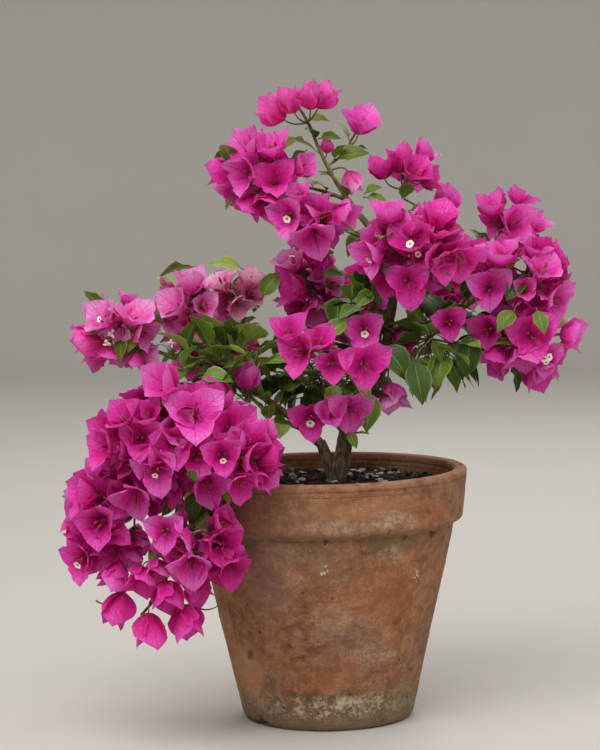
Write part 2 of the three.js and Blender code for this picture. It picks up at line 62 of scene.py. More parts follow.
class Shade:
    """A socket in a material's node tree. Arithmetic on it adds Math nodes."""

    def __init__(self, tree, socket):
        self.tree = tree
        self.socket = socket

    def node(self, kind, settings=None, inputs=None, output=0):
        """Adds a node, sets it up, fills or links its inputs, and gives one of its outputs."""
        made = self.tree.nodes.new("ShaderNode" + kind)
        for key, value in (settings or {}).items():
            if key == "stops":
                while len(made.color_ramp.elements) < len(value):
                    made.color_ramp.elements.new(1)
                for element, (place, colour) in zip(made.color_ramp.elements, value):
                    element.position = place
                    element.color = (*colour, 1)
            else:
                setattr(made, key, value)
        for key, value in (inputs or {}).items():
            if isinstance(value, Shade):
                self.tree.links.new(value.socket, made.inputs[key])
            else:
                made.inputs[key].default_value = value
        return Shade(self.tree, made.outputs[output])

    def math(self, operation, other, swapped=False):
        a, b = (other, self) if swapped else (self, other)
        return self.node("Math", {"operation": operation}, {0: a, 1: b})

    def __add__(self, other):
        return self.math("ADD", other)

    def __radd__(self, other):
        return self.math("ADD", other, True)

    def __sub__(self, other):
        return self.math("SUBTRACT", other)

    def __rsub__(self, other):
        return self.math("SUBTRACT", other, True)

    def __mul__(self, other):
        return self.math("MULTIPLY", other)

    def __rmul__(self, other):
        return self.math("MULTIPLY", other, True)

    def function(self, name):
        """A Math node's function of this value alone, such as ABSOLUTE or SINE."""
        return self.node("Math", {"operation": name}, {0: self})

    def part(self, index):
        """One of the three values of a vector."""
        return self.node("SeparateXYZ", {}, {0: self}, index)

    def rise(self, low, high):
        """0 below low and 1 above high, with a smooth slope between them. low may be the larger."""
        settings = {"interpolation_type": "SMOOTHSTEP"}
        if low < high:
            return self.node("MapRange", settings, {0: self, 1: low, 2: high})
        return self.node("MapRange", settings, {0: self, 1: high, 2: low, 3: 1.0, 4: 0.0})

    def hump(self, low, high, edge):
        """1 between low and high, falling to 0 within edge outside them."""
        return self.rise(low - edge, low) * self.rise(high + edge, high)

    def tint(self, base, other):
        """Two colours or colour sockets, mixed by this value."""
        mixed = {0: self}
        for key, colour in ((6, base), (7, other)):
            mixed[key] = colour if isinstance(colour, Shade) else (*colour, 1)
        return self.node("Mix", {"data_type": "RGBA"}, mixed, 2)

    def ramp(self, *stops):
        return self.node("ValToRGB", {"stops": stops}, {0: self})

    def stretched(self, x, y, z):
        return self.node("Mapping", {}, {"Vector": self, "Scale": (x, y, z)})

    def cells(self, scale, **settings):
        """The distance to the nearest of many scattered points, or what the settings say."""
        return self.node("TexVoronoi", settings, {"Vector": self, "Scale": scale})

    def cloudy(self, scale, detail=4.0, roughness=0.55, distortion=0.0):
        values = {"Vector": self, "Scale": scale, "Detail": detail, "Roughness": roughness}
        return self.node("TexNoise", {}, {**values, "Distortion": distortion})


class Finish:
    """A new material with one Principled shader. Its sockets that are the same all over come by name."""

    def __init__(self, name, **fixed):
        self.material = bpy.data.materials.new(name)
        self.material.use_nodes = True
        self.tree = self.material.node_tree
        self.shader = self.tree.nodes["Principled BSDF"]
        for key, value in fixed.items():
            self.shader.inputs[key.replace("_", " ")].default_value = value
        places = self.tree.nodes.new("ShaderNodeTexCoord")
        self.place = Shade(self.tree, places.outputs["Object"])
        self.uv = Shade(self.tree, places.outputs["UV"])

    def set(self, socket, shade):
        self.tree.links.new(shade.socket, self.shader.inputs[socket])

    def paint(self, value, *stops):
        """Colours the surface by a value, along stops of a place from 0 to 1 and a colour."""
        self.set("Base Color", value.ramp(*stops))

    def bump(self, height, depth):
        """Relief from a height that runs from 0 to 1, over a depth in metres."""
        self.set("Normal", height.node("Bump", {}, {"Height": height, "Strength": 1.0, "Distance": depth}))

    def glow(self, colour, share):
        """Lets a thin sheet pass some light from behind."""
        out = self.tree.nodes["Material Output"]
        back = self.tree.nodes.new("ShaderNodeBsdfTranslucent")
        self.tree.links.new(colour.socket, back.inputs["Color"])
        mixed = self.tree.nodes.new("ShaderNodeMixShader")
        mixed.inputs[0].default_value = share
        self.tree.links.new(self.shader.outputs[0], mixed.inputs[1])
        self.tree.links.new(back.outputs[0], mixed.inputs[2])
        self.tree.links.new(mixed.outputs[0], out.inputs["Surface"])


def turned(profile, sides):
    """Points and faces of a line of (radius, height), turned about the Z axis. A radius of 0 is a pole."""
    points = []
    rings = []
    for radius, height in profile:
        count = sides if radius > 0 else 1
        rings.append([len(points) + s % count for s in range(sides + 1)])
        for s in range(count):
            turn = 2 * math.pi * s / sides
            points.append((radius * math.cos(turn), radius * math.sin(turn), height))
    faces = []
    for low, high in zip(rings, rings[1:]):
        for s in range(sides):
            face = [low[s], low[s + 1], high[s + 1], high[s]]
            faces.append(list(dict.fromkeys(face)))
    return np.array(points), faces


def mesh_object(name, points, faces, material, uv=None, smooth=True):
    """A new object from points in millimetres."""
    mesh = bpy.data.meshes.new(name)
    mesh.from_pydata((np.asarray(points) / 1000).tolist(), [], faces)
    if uv is not None:
        corners = np.empty(len(mesh.loops), dtype=np.int32)
        mesh.loops.foreach_get("vertex_index", corners)
        mesh.uv_layers.new(name="UVMap").data.foreach_set("uv", np.asarray(uv)[corners].ravel())
    mesh.polygons.foreach_set("use_smooth", [smooth] * len(mesh.polygons))
    mesh.materials.append(material)
    made = bpy.data.objects.new(name, mesh)
    bpy.context.collection.objects.link(made)
    return made


FLOOR = {"flat": 4600, "wall": 6000, "top": 4200, "sides": 96, "arc_steps": 12}
curve = FLOOR["wall"] - FLOOR["flat"]
cove = [
    (FLOOR["flat"] + curve * math.cos(t), curve - curve * math.sin(t))
    for t in np.linspace(0, math.pi / 2, FLOOR["arc_steps"])
]
paper = Finish("studio_paper", Roughness=0.7)
paper.set("Base Color", paper.place.cloudy(1.5).tint((0.495, 0.48, 0.445), (0.53, 0.515, 0.475)))
floor_shape = turned([(FLOOR["wall"], FLOOR["top"]), *cove, (0, 0)], FLOOR["sides"])
mesh_object("studio_floor", *floor_shape, paper.material)

LIGHTS = [
    {"name": "panel_above", "at": (-0.7, -1.5, 2.5), "size": 2.2, "power": 62, "colour": (1, 0.985, 0.96)},
    {"name": "panel_right", "at": (2.2, -1.2, 1.5), "size": 1.4, "power": 12, "colour": (1, 0.96, 0.9)},
    {"name": "panel_behind", "at": (0.6, 2.4, 2.2), "size": 1.8, "power": 26, "colour": (1, 0.99, 0.97)},
]
for light in LIGHTS:
    lamp = bpy.data.lights.new(light["name"], "AREA")
    lamp.size = light["size"]
    lamp.energy = light["power"]
    lamp.color = light["colour"]
    panel = bpy.data.objects.new(light["name"], lamp)
    panel.location = light["at"]
    towards = Vector((0, 0, 0.35)) - Vector(light["at"])
    panel.rotation_euler = towards.to_track_quat("-Z", "Y").to_euler()
    panel.visible_camera = False
    bpy.context.collection.objects.link(panel)
world = bpy.data.worlds.new("studio")
world.use_nodes = True
world.node_tree.nodes["Background"].inputs["Color"].default_value = (1, 0.985, 0.96, 1)
world.node_tree.nodes["Background"].inputs["Strength"].default_value = 0.75
bpy.context.scene.world = world

# The pot: terracotta, thrown and weathered out of doors. Its band is thickened under the lip, its foot is
# worn and has one chip, and three drain holes go through the floor. One line turned about its axis.

POT = {
    "height": 262, "foot": 90, "body_top": 134.8, "band": 52, "band_foot": 144.4, "rim": 150,
    "rim_draft": 0.4, "mouth": 135.6, "mouth_draft": 1.2, "wall": 12.3, "floor": 15, "chamfer": 4.5,
    "sides": 288, "step": 3.2,
}  # fmt: skip
CHIP = {"bearing": math.radians(218), "size": (9, 15, 7.5), "reach": 20, "bites": 40, "bite": 0.25}
DRAIN = {"holes": 3, "radius": 7, "circle": 46, "sides": 24}
ROUNDING_STEPS = 6
band_foot = POT["height"] - POT["band"]
body_top = band_foot - POT["chamfer"]


def rounded(corners, step):
    """Points along a line of (radius, height, rounding) corners, no more than step apart."""
    line = []
    for i, (radius, height, rounding) in enumerate(corners):
        here = np.array((radius, height), float)
        if rounding == 0:
            line.append(here)
            continue
        ends = [np.array(corners[j][:2]) - here for j in (i - 1, i + 1)]
        a, b = [here + end / np.linalg.norm(end) * rounding for end in ends]
        for t in np.linspace(0, 1, ROUNDING_STEPS):
            line.append((1 - t) ** 2 * a + 2 * t * (1 - t) * here + t**2 * b)
    filled = [line[0]]
    for a, b in zip(line, line[1:]):
        pieces = math.ceil(np.linalg.norm(b - a) / step)
        filled += [a + (b - a) * (k + 1) / pieces for k in range(pieces)]
    return filled


def roughness_of(points, size, seed):
    """Smooth noise from about -0.5 to 0.5 at each point, with lumps of about the given size."""
    shift = Vector((seed * 7.3, seed * 3.1, seed * 5.7))
    return np.array([noise.noise(Vector(p) / size + shift) for p in points])


# Radius, height and rounding from the middle of the underside, up the outside and down to the floor within
pot_line = rounded(
    [
        (0, 0, 0),
        (POT["foot"] - POT["chamfer"], 0, 1.5),
        (POT["foot"], POT["chamfer"], 3),
        (POT["body_top"] - 0.4, body_top - 6, 5),
        (POT["body_top"] + 0.8, body_top, 2),
        (POT["band_foot"], band_foot, 2.5),
        (POT["rim"] - POT["rim_draft"], POT["height"] - 9, 2),
        (POT["rim"], POT["height"], 4.5),
        (POT["mouth"], POT["height"], 4.5),
        (POT["mouth"] - POT["mouth_draft"], band_foot, 8),
        (POT["foot"] - POT["wall"], POT["floor"], 6),
        (0, POT["floor"], 0),
    ],
    POT["step"],
)
clay_points, clay_faces = turned(pot_line, POT["sides"])
outward = clay_points * (1, 1, 0) / np.maximum(np.hypot(*clay_points[:, :2].T), 1)[:, None]
# Broad and small lumps, and faint rings from the wheel, but a flat underside
lumps = 1.1 * roughness_of(clay_points, 90, 1) + 0.7 * roughness_of(clay_points, 22, 2)
lumps += 0.35 * roughness_of(clay_points * (0.25, 0.25, 1), 7, 3)
lumps[clay_points[:, 2] < 1] = 0
clay_points = clay_points + outward * lumps[:, None]
chip_turn = np.array(Matrix.Rotation(CHIP["bearing"], 3, "Z"))
chip_centre = chip_turn @ (POT["foot"], 0, 0)
chip_inwards = chip_turn @ (-0.62, 0, 0.78)
for k in np.nonzero(np.linalg.norm(clay_points - chip_centre, axis=1) < CHIP["reach"])[0]:
    for _ in range(CHIP["bites"]):
        reach = (chip_turn.T @ (clay_points[k] - chip_centre)) / CHIP["size"]
        if np.linalg.norm(reach) > 1 + 0.5 * noise.noise(Vector(clay_points[k]) / 4):
            break
        clay_points[k] += chip_inwards * CHIP["bite"]

terracotta = Finish("terracotta", Roughness=0.9)
place = terracotta.place
height = place.part(2)
broad = place.cloudy(9, 3, 0.5, 0.4)
patches = place.cloudy(24, 6, 0.6, 0.8)
mottle = place.cloudy(75, 6, 0.65, 0.3)
fine = place.cloudy(230, 5, 0.7, 0.5)
grain = place.cloudy(420, 3, 0.6)
runs = place.stretched(1, 1, 0.22).cloudy(34, 5, 0.6, 0.5)
RAGGED = 0.026
wander = place.node("TexNoise", {}, {"Vector": place, "Scale": 60.0, "Detail": 6.0, "Roughness": 0.7}, 1)
ragged = wander.node("VectorMath", {"operation": "MULTIPLY_ADD"}, {0: wander, 1: (RAGGED,) * 3, 2: place})


def wisps(scale, width):
    """Thin wandering lines of salt, where a noise crosses its middle value."""
    return (ragged.cloudy(scale, 5, 0.7, 0.6) - 0.5).function("ABSOLUTE").rise(width, 0.0)


def stain(at, size):
    """1 inside an oval place, in millimetres, with a soft and ragged edge."""
    shares = [1000 / s for s in size]
    offset = [-(a / 1000 + RAGGED / 2) * share for a, share in zip(at, shares)]
    inside = ragged.node("Mapping", {}, {"Vector": ragged, "Location": offset, "Scale": shares})
    return inside.node("VectorMath", {"operation": "LENGTH"}, {0: inside}, 1).rise(1.3, 0.4)


# Stains, and one patch of painted shade, by place: where, how far each reaches, how strong it is, and its
# colour
STAINS_AND_SHADE = [
    # The first, a purple-grey patch on the left front under the hanging spray, is painted shade.
    ((-62, -109, 162), (32, 60, 50), 0.6, (0.235, 0.125, 0.1)),
    ((53, -110, 140), (42, 60, 32), 0.6, (0.34, 0.098, 0.027)),
    ((45, -140, 238), (70, 60, 16), 0.35, (0.47, 0.2, 0.08)),
    ((-66, -125, 232), (34, 60, 22), 0.4, (0.25, 0.12, 0.075)),
    ((114, -92, 228), (9, 20, 10), 0.6, (0.42, 0.12, 0.04)),
    ((55, -89, 62), (22, 40, 16), 0.6, (0.27, 0.085, 0.045)),
    ((4, -104, 66), (26, 40, 26), 0.35, (0.36, 0.125, 0.035)),
    ((-84, -58, 48), (26, 60, 44), 0.6, (0.5, 0.26, 0.12)),
    ((86, -50, 24), (28, 40, 26), 0.5, (0.26, 0.2, 0.085)),
    ((61, -118, 198), (17, 30, 6), 0.75, (0.16, 0.13, 0.04)),
    ((-60, -80, 46), (8, 30, 26), 0.65, (0.12, 0.09, 0.042)),
    ((-78, -74, 78), (5, 20, 5), 0.8, (0.07, 0.028, 0.014)),
    ((-26, -105, 82), (5, 20, 4), 0.7, (0.09, 0.04, 0.02)),
    ((-10, -96, 39), (56, 40, 5), 0.8, (0.11, 0.075, 0.032)),
    ((98, 92, 252), (46, 46, 18), 0.6, (0.42, 0.25, 0.16)),
]
# Blooms of lime: where, how far each reaches and how strong it is
BLOOMS = [
    ((67, -130, 222), (26, 40, 11), 0.75),
    ((69, -111, 188), (15, 40, 9), 0.6),
    ((10, -142, 219), (40, 40, 7), 0.4),
    ((51, -95, 80), (32, 40, 13), 0.5),
    ((-40, -112, 196), (24, 40, 5), 0.4),
    ((20, -120, 120), (60, 40, 26), 0.22),
]
# Chalky flecks and deeper pits that the photo shows one by one, and where the foot's crust is thickest
CHALKY = [((-1, -128, 176), (6, 20, 5)), ((92, -84, 160), (4, 20, 8)), ((6, -128, 170), (3, 20, 3))]
PITS = [(-1, -134, 203), (81, -106, 200), (108, -79, 200)]
PIT_SIZE = (3.4, 12, 2.6)
CRUST_FRONT = ((8, -92, 27), (75, 40, 15))
LIME = (0.5, 0.37, 0.27)
salt = (wisps(58, 0.016) * 0.8 + wisps(130, 0.03) * 0.7) * mottle.rise(0.4, 0.58)
scars = wisps(90, 0.012) * patches.rise(0.56, 0.4)
flakes = 0.25 + 0.75 * (0.35 * mottle + 0.65 * fine).rise(0.46, 0.57)
grime_and_shade = (0.5 * patches + 0.25 * runs + 0.25 * fine).rise(0.46, 0.58)
crust = height.hump(0.019, 0.033, 0.012) * (0.4 * mottle + 0.15 * patches + 0.45 * fine).rise(0.47, 0.55)
flecks = place.cells(150.0).rise(0.12, 0.04) * patches.rise(0.54, 0.64) * 0.8
for at, size in CHALKY:
    flecks = flecks + stain(at, size) * fine.rise(0.5, 0.58)
pits = place.cells(62.0).rise(0.13, 0.05) * runs.rise(0.47, 0.56)
for at in PITS:
    pits = pits + stain(at, PIT_SIZE)
ring = height.hump(0.2535, 0.2545, 0.0012) + height.hump(0.2485, 0.249, 0.0008) * 0.6
# Coats over the clay, from the first to the last: where each lies, how strong it is, and its colour
coats = [
    (broad.rise(0.48, 0.64), 0.4, (0.225, 0.125, 0.085)),
    (runs.rise(0.54, 0.72), 0.4, (0.12, 0.062, 0.036)),
    *[(stain(at, size), share, tint) for at, size, share, tint in STAINS_AND_SHADE],
    (salt, 0.6, (0.56, 0.38, 0.26)),
    (scars, 0.5, (0.09, 0.042, 0.025)),
    *[(stain(at, size) * flakes, share, LIME) for at, size, share in BLOOMS],
    # A dark band just under the band's overhang: grime, and painted shade where the band shades the body.
    (height.hump(0.194, 0.206, 0.012) * grime_and_shade, 0.6, (0.12, 0.09, 0.048)),
    (height.rise(0.042, 0.012) * (0.5 + 0.5 * fine), 0.85, (0.155, 0.118, 0.074)),
    (crust * (0.3 + 0.7 * stain(*CRUST_FRONT)), 0.8, (0.56, 0.49, 0.37)),
    (flecks, 1.0, (0.72, 0.68, 0.6)),
    (pits, 0.85, (0.06, 0.035, 0.022)),
    (ring, 0.3, (0.16, 0.065, 0.032)),
    (height.rise(0.254, 0.261) * mottle.rise(0.38, 0.56), 0.6, (0.36, 0.185, 0.12)),
]
colour = (0.42 * patches + 0.33 * mottle + 0.25 * fine).ramp(
    (0.37, (0.13, 0.05, 0.021)),
    (0.46, (0.245, 0.093, 0.036)),
    (0.56, (0.335, 0.133, 0.054)),
    (0.66, (0.47, 0.23, 0.115)),
)
for mask, share, tint in coats:
    colour = (mask * share).tint(colour, tint)
terracotta.set("Base Color", colour)
terracotta.set("Roughness", 0.8 + 0.18 * mottle)
turning = place.stretched(0.05, 0.05, 1).cloudy(260, 2, 0.5)
relief = 0.3 * mottle + 0.25 * fine + 0.2 * grain + 0.2 * turning - 0.6 * pits - 0.25 * ring + 0.15 * crust
terracotta.bump(relief, 0.003)

pot = mesh_object("clay_pot", clay_points, clay_faces, terracotta.material)
low, high = -POT["floor"], 2 * POT["floor"]
drill_line = [(0, low), (DRAIN["radius"], low), (DRAIN["radius"], high), (0, high)]
drill_points, drill_faces = turned(drill_line, DRAIN["sides"])
for i in range(DRAIN["holes"]):
    turn = 2 * math.pi * i / DRAIN["holes"]
    at = (DRAIN["circle"] * math.cos(turn), DRAIN["circle"] * math.sin(turn), 0)
    drill = mesh_object("drill", drill_points + at, drill_faces, terracotta.material)
    cut = pot.modifiers.new("drain", "BOOLEAN")
    cut.operation = "DIFFERENCE"
    cut.solver = "MANIFOLD"
    cut.object = drill
    drilled = bpy.data.meshes.new_from_object(pot.evaluated_get(bpy.context.evaluated_depsgraph_get()))
    pot.modifiers.clear()
    pot.data = drilled
    bpy.data.objects.remove(drill)
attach(pot, "root")
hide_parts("pot")

# The soil: dark potting mix, filled to 16 mm under the rim, with pale grit and brown bark chips pressed
# into its surface. The grit and chips are scattered by Geometry Nodes.

SOIL = {"surface": 246, "edge_drop": 3, "flat": 40, "gap": 0.6, "sides": 160, "step": 3}
HEAP = {"x": 8, "height": 2.2, "radius": 26}
edge_radius = POT["mouth"] - SOIL["gap"] - 0.4
soil_top = [
    (edge_radius, SOIL["surface"] - SOIL["edge_drop"], 0),
    (SOIL["flat"], SOIL["surface"], 0),
    (0, SOIL["surface"], 0),
]
soil_side = [
    (0, POT["floor"] + SOIL["gap"], 0),
    (POT["foot"] - POT["wall"] - 2, POT["floor"] + SOIL["gap"], 0),
    (POT["mouth"] - POT["mouth_draft"] - 2 * SOIL["gap"], band_foot, 0),
]


def crumbled(points):
    """Soil's surface, heaped a little round the stem and lumpy all over."""
    away = np.hypot(points[:, 0] - HEAP["x"], points[:, 1])
    heap = HEAP["height"] * np.exp(-((away / HEAP["radius"]) ** 2))
    rough = 2.6 * roughness_of(points, 16, 4) + 2.4 * roughness_of(points, 5, 5)
    inside = np.clip((POT["mouth"] - 1 - np.hypot(points[:, 0], points[:, 1])) / 4, 0, 1)
    return points + np.outer((heap + rough) * inside, (0, 0, 1))


soil_points, soil_faces = turned(rounded(soil_side, 40) + rounded(soil_top, SOIL["step"]), SOIL["sides"])
on_top = soil_points[:, 2] > SOIL["surface"] - SOIL["edge_drop"] - 0.1
soil_points[on_top] = crumbled(soil_points[on_top])
mix = Finish("potting_mix", Roughness=0.97)
crumbs = mix.place.cloudy(180, 5, 0.7)
clods = mix.place.cloudy(45, 4, 0.6)
mix_stops = (0.36, (0.0025, 0.0018, 0.0012)), (0.52, (0.009, 0.006, 0.004)), (0.7, (0.034, 0.022, 0.013))
mix.paint(0.5 * crumbs + 0.5 * clods, *mix_stops)
mix.bump(0.6 * crumbs + 0.4 * clods, 0.004)
soil = mesh_object("potting_soil", soil_points, soil_faces, mix.material)
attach(soil, "root")
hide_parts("soil")

top_points, top_faces = turned(rounded([(edge_radius - 3, soil_top[0][1], 0), *soil_top[1:]], 5), 60)
bed = mesh_object("bed", crumbled(top_points), top_faces, mix.material)


def scatter_tree():
    """Spreads lumps over a surface, each turned and stretched at random, then dents them all."""
    tree = bpy.data.node_groups.new("scatter_lumps", "GeometryNodeTree")
    kinds = {
        "Surface": "Geometry", "Density": "Float", "Dent": "Float", "Smallest": "Vector",
        "Largest": "Vector", "Seed": "Int", "Material": "Material",
    }  # fmt: skip
    for key, kind in kinds.items():
        tree.interface.new_socket(key, in_out="INPUT", socket_type="NodeSocket" + kind)
    tree.interface.new_socket("Lumps", in_out="OUTPUT", socket_type="NodeSocketGeometry")

    def add(kind, inputs, **settings):
        """Adds a node, sets it up, fills or links its inputs, and gives its outputs."""
        made = tree.nodes.new(kind)
        for key, value in settings.items():
            setattr(made, key, value)
        for key, value in inputs.items():
            if isinstance(value, bpy.types.NodeSocket):
                tree.links.new(value, made.inputs[key])
            else:
                made.inputs[key].default_value = value
        return made.outputs

    given = add("NodeGroupInput", {})
    over = {"Mesh": given["Surface"], "Density": given["Density"], "Seed": given["Seed"]}
    spread = add("GeometryNodeDistributePointsOnFaces", over)
    lump = add("GeometryNodeMeshIcoSphere", {"Radius": 1, "Subdivisions": 2})
    between = {0: given["Smallest"], 1: given["Largest"], "Seed": given["Seed"]}
    sizes = add("FunctionNodeRandomValue", between, data_type="FLOAT_VECTOR")
    tilted = {0: (-0.35, -0.35, 0), 1: (0.35, 0.35, 2 * math.pi)}
    turns = add("FunctionNodeRandomValue", tilted, data_type="FLOAT_VECTOR")
    each = {"Points": spread["Points"], "Instance": lump["Mesh"], "Rotation": turns[0], "Scale": sizes[0]}
    placed = add("GeometryNodeInstanceOnPoints", each)
    real = add("GeometryNodeRealizeInstances", {"Geometry": placed["Instances"]})
    dents = add("ShaderNodeTexNoise", {"Scale": 320})
    centred = add("ShaderNodeVectorMath", {0: dents["Color"], 1: (0.5, 0.5, 0.5)}, operation="SUBTRACT")
    scaled = add("ShaderNodeVectorMath", {0: centred[0], "Scale": given["Dent"]}, operation="SCALE")
    moved = add("GeometryNodeSetPosition", {"Geometry": real["Geometry"], "Offset": scaled[0]})
    coated = add("GeometryNodeSetMaterial", {"Geometry": moved["Geometry"], "Material": given["Material"]})
    add("NodeGroupOutput", {"Lumps": coated["Geometry"]})
    return tree


scatter = scatter_tree()
sockets = {item.name: item.identifier for item in scatter.interface.items_tree if item.in_out == "INPUT"}


def scattered(name, material, **sizes):
    """A plain mesh of lumps over the bed of soil. sizes fill the tree's inputs."""
    grown = bed.modifiers.new("scatter", "NODES")
    grown.node_group = scatter
    for key, value in {**sizes, "Material": material}.items():
        grown[sockets[key]] = value
    made = bpy.data.meshes.new_from_object(bed.evaluated_get(bpy.context.evaluated_depsgraph_get()))
    bed.modifiers.remove(grown)
    strewn = bpy.data.objects.new(name, made)
    bpy.context.collection.objects.link(strewn)
    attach(strewn, "root")


grit = Finish("pale_grit", Roughness=0.85)
grit_cloud = grit.place.cloudy(220, 4, 0.6)
grit_stops = (0.35, (0.16, 0.145, 0.125)), (0.5, (0.38, 0.36, 0.32)), (0.62, (0.6, 0.58, 0.53))
grit.paint(grit_cloud, *grit_stops)
grit.bump(grit_cloud, 0.0012)
chips = Finish("bark_chips", Roughness=0.9)
chip_cloud = chips.place.stretched(1, 1, 3).cloudy(150, 4, 0.6)
chip_stops = (0.35, (0.012, 0.008, 0.006)), (0.52, (0.05, 0.028, 0.017)), (0.7, (0.14, 0.085, 0.05))
chips.paint(chip_cloud, *chip_stops)
chips.bump(chip_cloud, 0.0015)
# Each kind of lump: how many to a square metre, how dented, its seed, and its least and greatest radii in
# metres
LUMPS = [
    ("soil_grit", grit, 1500.0, 0.006, 3, (0.002, 0.0018, 0.0015), (0.0088, 0.0062, 0.0052)),
    ("soil_chips", chips, 5200.0, 0.004, 8, (0.003, 0.0015, 0.001), (0.0095, 0.0042, 0.0024)),
    ("soil_crumbs", mix, 12000.0, 0.004, 5, (0.0015, 0.0015, 0.0012), (0.006, 0.005, 0.004)),
]
for name, finish, density, dent, seed, least, most in LUMPS:
    scattered(name, finish.material, Density=density, Dent=dent, Seed=seed, Smallest=least, Largest=most)
bpy.data.objects.remove(bed)

# The wood: two stems grown together, which lean and fork just above the soil, a leader in two lengths, and
# one bough to each mass of blossom or leaf. The bark is grey-brown and furrowed low down, and olive higher.

TRUNK = {
    "main": {"base": (10, 0), "tip": (24, -1, 303), "radius": 9.2, "tip_radius": 7.6},
    "left": {"base": (1, 2), "tip": (-5, 1, 289), "radius": 6.6, "tip_radius": 5.4},
    "lean": 4, "flare": 1.2, "flare_height": 36, "joined_height": 50, "sunk": 4,
}  # fmt: skip
# Each stem: its sides, and how far its foot is drawn in towards the other
STEMS = [("trunk", 40, 0), ("left_stem", 32, 9)]
# Furrows in the bark, coarse and fine: how closely they go round, their length and their depth
FURROWS = [(2.2, 14, 1), (6, 9, 0.6)]
# How each kind of limb is made: steps along it, its furrows' depth, sides, and how far back it starts
STEM_SKIN = {"steps": 44, "relief": 0.17}
LEADER_SKIN = {"steps": 56, "relief": 0.13, "sides": 26, "back": 4}
BOUGH_SKIN = {"steps": 36, "relief": 0.1, "sides": 12, "back": 2, "slender": 0.8, "collar": 0.35}
SOIL_GAP = 0.3
ENTRY = {"share": 0.86, "step": 0.06, "least": 0.2}
CLEAR = {"pot": 3, "limb": 3.5, "tip": 4}
LIMB_STEPS = 4
soil_level = SOIL["surface"] + SOIL_GAP
LEADER = [
    ("leader_low", ("trunk", 1), (71, -5, 416), (9, 0, -9), (6.8, 5.2)),
    ("leader_mid", ("leader_low", 1), (54, -3, 512), (12, 0, 2), (5, 4.1)),
]
# Each mass: centre, reach, the limb that its bough leaves and where, the bough's bend and radii, and its
# kind where that isn't plain blossom. The lit kind, for the upper masses, is painted light from above.
MASSES = [
    ("crown_tip", (-21, 0, 640), (46, 36, 33), ("leader_mid", 1), (-5, 0, -3), (3.9, 2), "coral"),
    ("crown_side", (54, 12, 623), (32, 34, 32), ("crown_tip", 0.68), (2, 0, -3), (1.9, 1.5), "lit"),
    ("upper_left", (-65, -12, 571), (51, 46, 52), ("crown_tip", 0.3), (0, -3, 3), (2.6, 1.9), "lit"),
    ("upper_mid", (-4, -30, 519), (42, 40, 36), ("leader_mid", 0.9), (0, -4, -3), (2.6, 1.9), "lit"),
    ("upper_right", (101, 85, 574), (47, 42, 39), ("leader_mid", 0.8), (4, 6, -4), (3, 2), "lit"),
    ("right_front", (93, -75, 489), (61, 50, 55), ("leader_mid", 0.4), (0, -6, -3), (3.2, 2.2)),
    ("far_right_high", (214, 5, 457), (60, 57, 50), ("leader_low", 0.93), (4, 0, -8), (4.4, 2.8)),
    ("far_right_low", (210, -5, 390), (62, 54, 50), ("far_right_high", 0.45), (2, -4, 4), (2.8, 2)),
    ("right_top", (205, 55, 523), (40, 40, 43), ("far_right_high", 0.62), (6, 4, -6), (2.6, 1.9), "lit"),
    ("middle", (-13, 50, 450), (44, 50, 48), ("leader_low", 0.55), (4, 6, -6), (3, 2)),
    ("front_mid", (12, -110, 392), (58, 46, 42), ("leader_low", 0.3), (6, -10, -8), (3, 2)),
    ("front_low", (15, -70, 324), (45, 40, 36), ("trunk", 0.82), (0, -4, -4), (2.6, 1.9)),
    ("back_right", (130, 110, 462), (60, 56, 55), ("leader_low", 0.88), (4, 4, -8), (3.2, 2.1)),
    ("back_mid", (30, 140, 420), (60, 54, 52), ("leader_low", 0.42), (2, 8, -8), (3.4, 2.2)),
    ("left_tip", (-208, 5, 410), (64, 44, 46), ("left_stem", 1), (4, 4, 12), (5.2, 2.4), "coral"),
    ("left_mid", (-144, 15, 432), (40, 44, 48), ("left_tip", 0.66), (-3, 4, -3), (2.5, 1.9), "coral"),
    ("left_inner", (-90, 60, 444), (36, 46, 40), ("left_tip", 0.4), (-4, 6, -3), (2.8, 1.9), "pale"),
    ("back_left", (-118, 110, 385), (58, 52, 48), ("left_tip", 0.2), (-2, 8, -6), (3, 2)),
    ("cascade_top", (-148, -112, 304), (90, 62, 70), ("left_tip", 0.12), (2, -4, 10), (4.2, 3)),
    ("cascade_side", (-72, -164, 294), (37, 40, 46), ("cascade_top", 0.4), (4, -6, 10), (2.4, 1.8)),
    ("cascade_out", (-212, -97, 228), (60, 56, 68), ("cascade_top", 0.7), (-22, 18, 34), (2.8, 2)),
    ("cascade_in", (-122, -138, 209), (54, 46, 58), ("cascade_top", 0.84), (-10, -24, 16), (2.6, 1.9)),
    ("cascade_low", (-178, -112, 148), (64, 50, 62), ("cascade_top", 0.9), (-14, 20, 30), (2.6, 1.9)),
    ("green_left", (-104, -42, 376), (80, 56, 46), ("left_tip", 0.3), (0, -6, 3), (2.6, 1.9), "leafy"),
    ("green_centre", (44, -22, 436), (46, 50, 50), ("leader_low", 0.8), (-2, -2, -3), (2.4, 1.8), "leafy"),
    ("green_right", (116, -32, 388), (60, 56, 58), ("leader_low", 0.66), (2, -4, -4), (2.8, 2), "leafy"),
    ("green_back", (-8, 80, 350), (76, 58, 48), ("trunk", 0.9), (-2, 6, -5), (2.6, 1.9), "leafy"),
]


def unit(v):
    return v / np.linalg.norm(v)


def about(v, axis, angle):
    """v turned about a unit axis."""
    return (
        v * math.cos(angle)
        + np.cross(axis, v) * math.sin(angle)
        + axis * np.dot(axis, v) * (1 - math.cos(angle))
    )


class Mass:
    """A mass of blossom or leaf, and the space that it keeps to."""

    def __init__(self, i, name, centre, reach, on, bend, radii, kind="plain"):
        self.name = name
        self.centre = np.array(centre, float)
        self.reach = np.array(reach, float)
        self.on = on
        self.bend = bend
        self.radii = radii
        self.kind = kind
        self.leafy = kind == "leafy"
        self.size = float(np.cbrt(np.prod(self.reach)))
        self.seed = 1009 + 211 * i


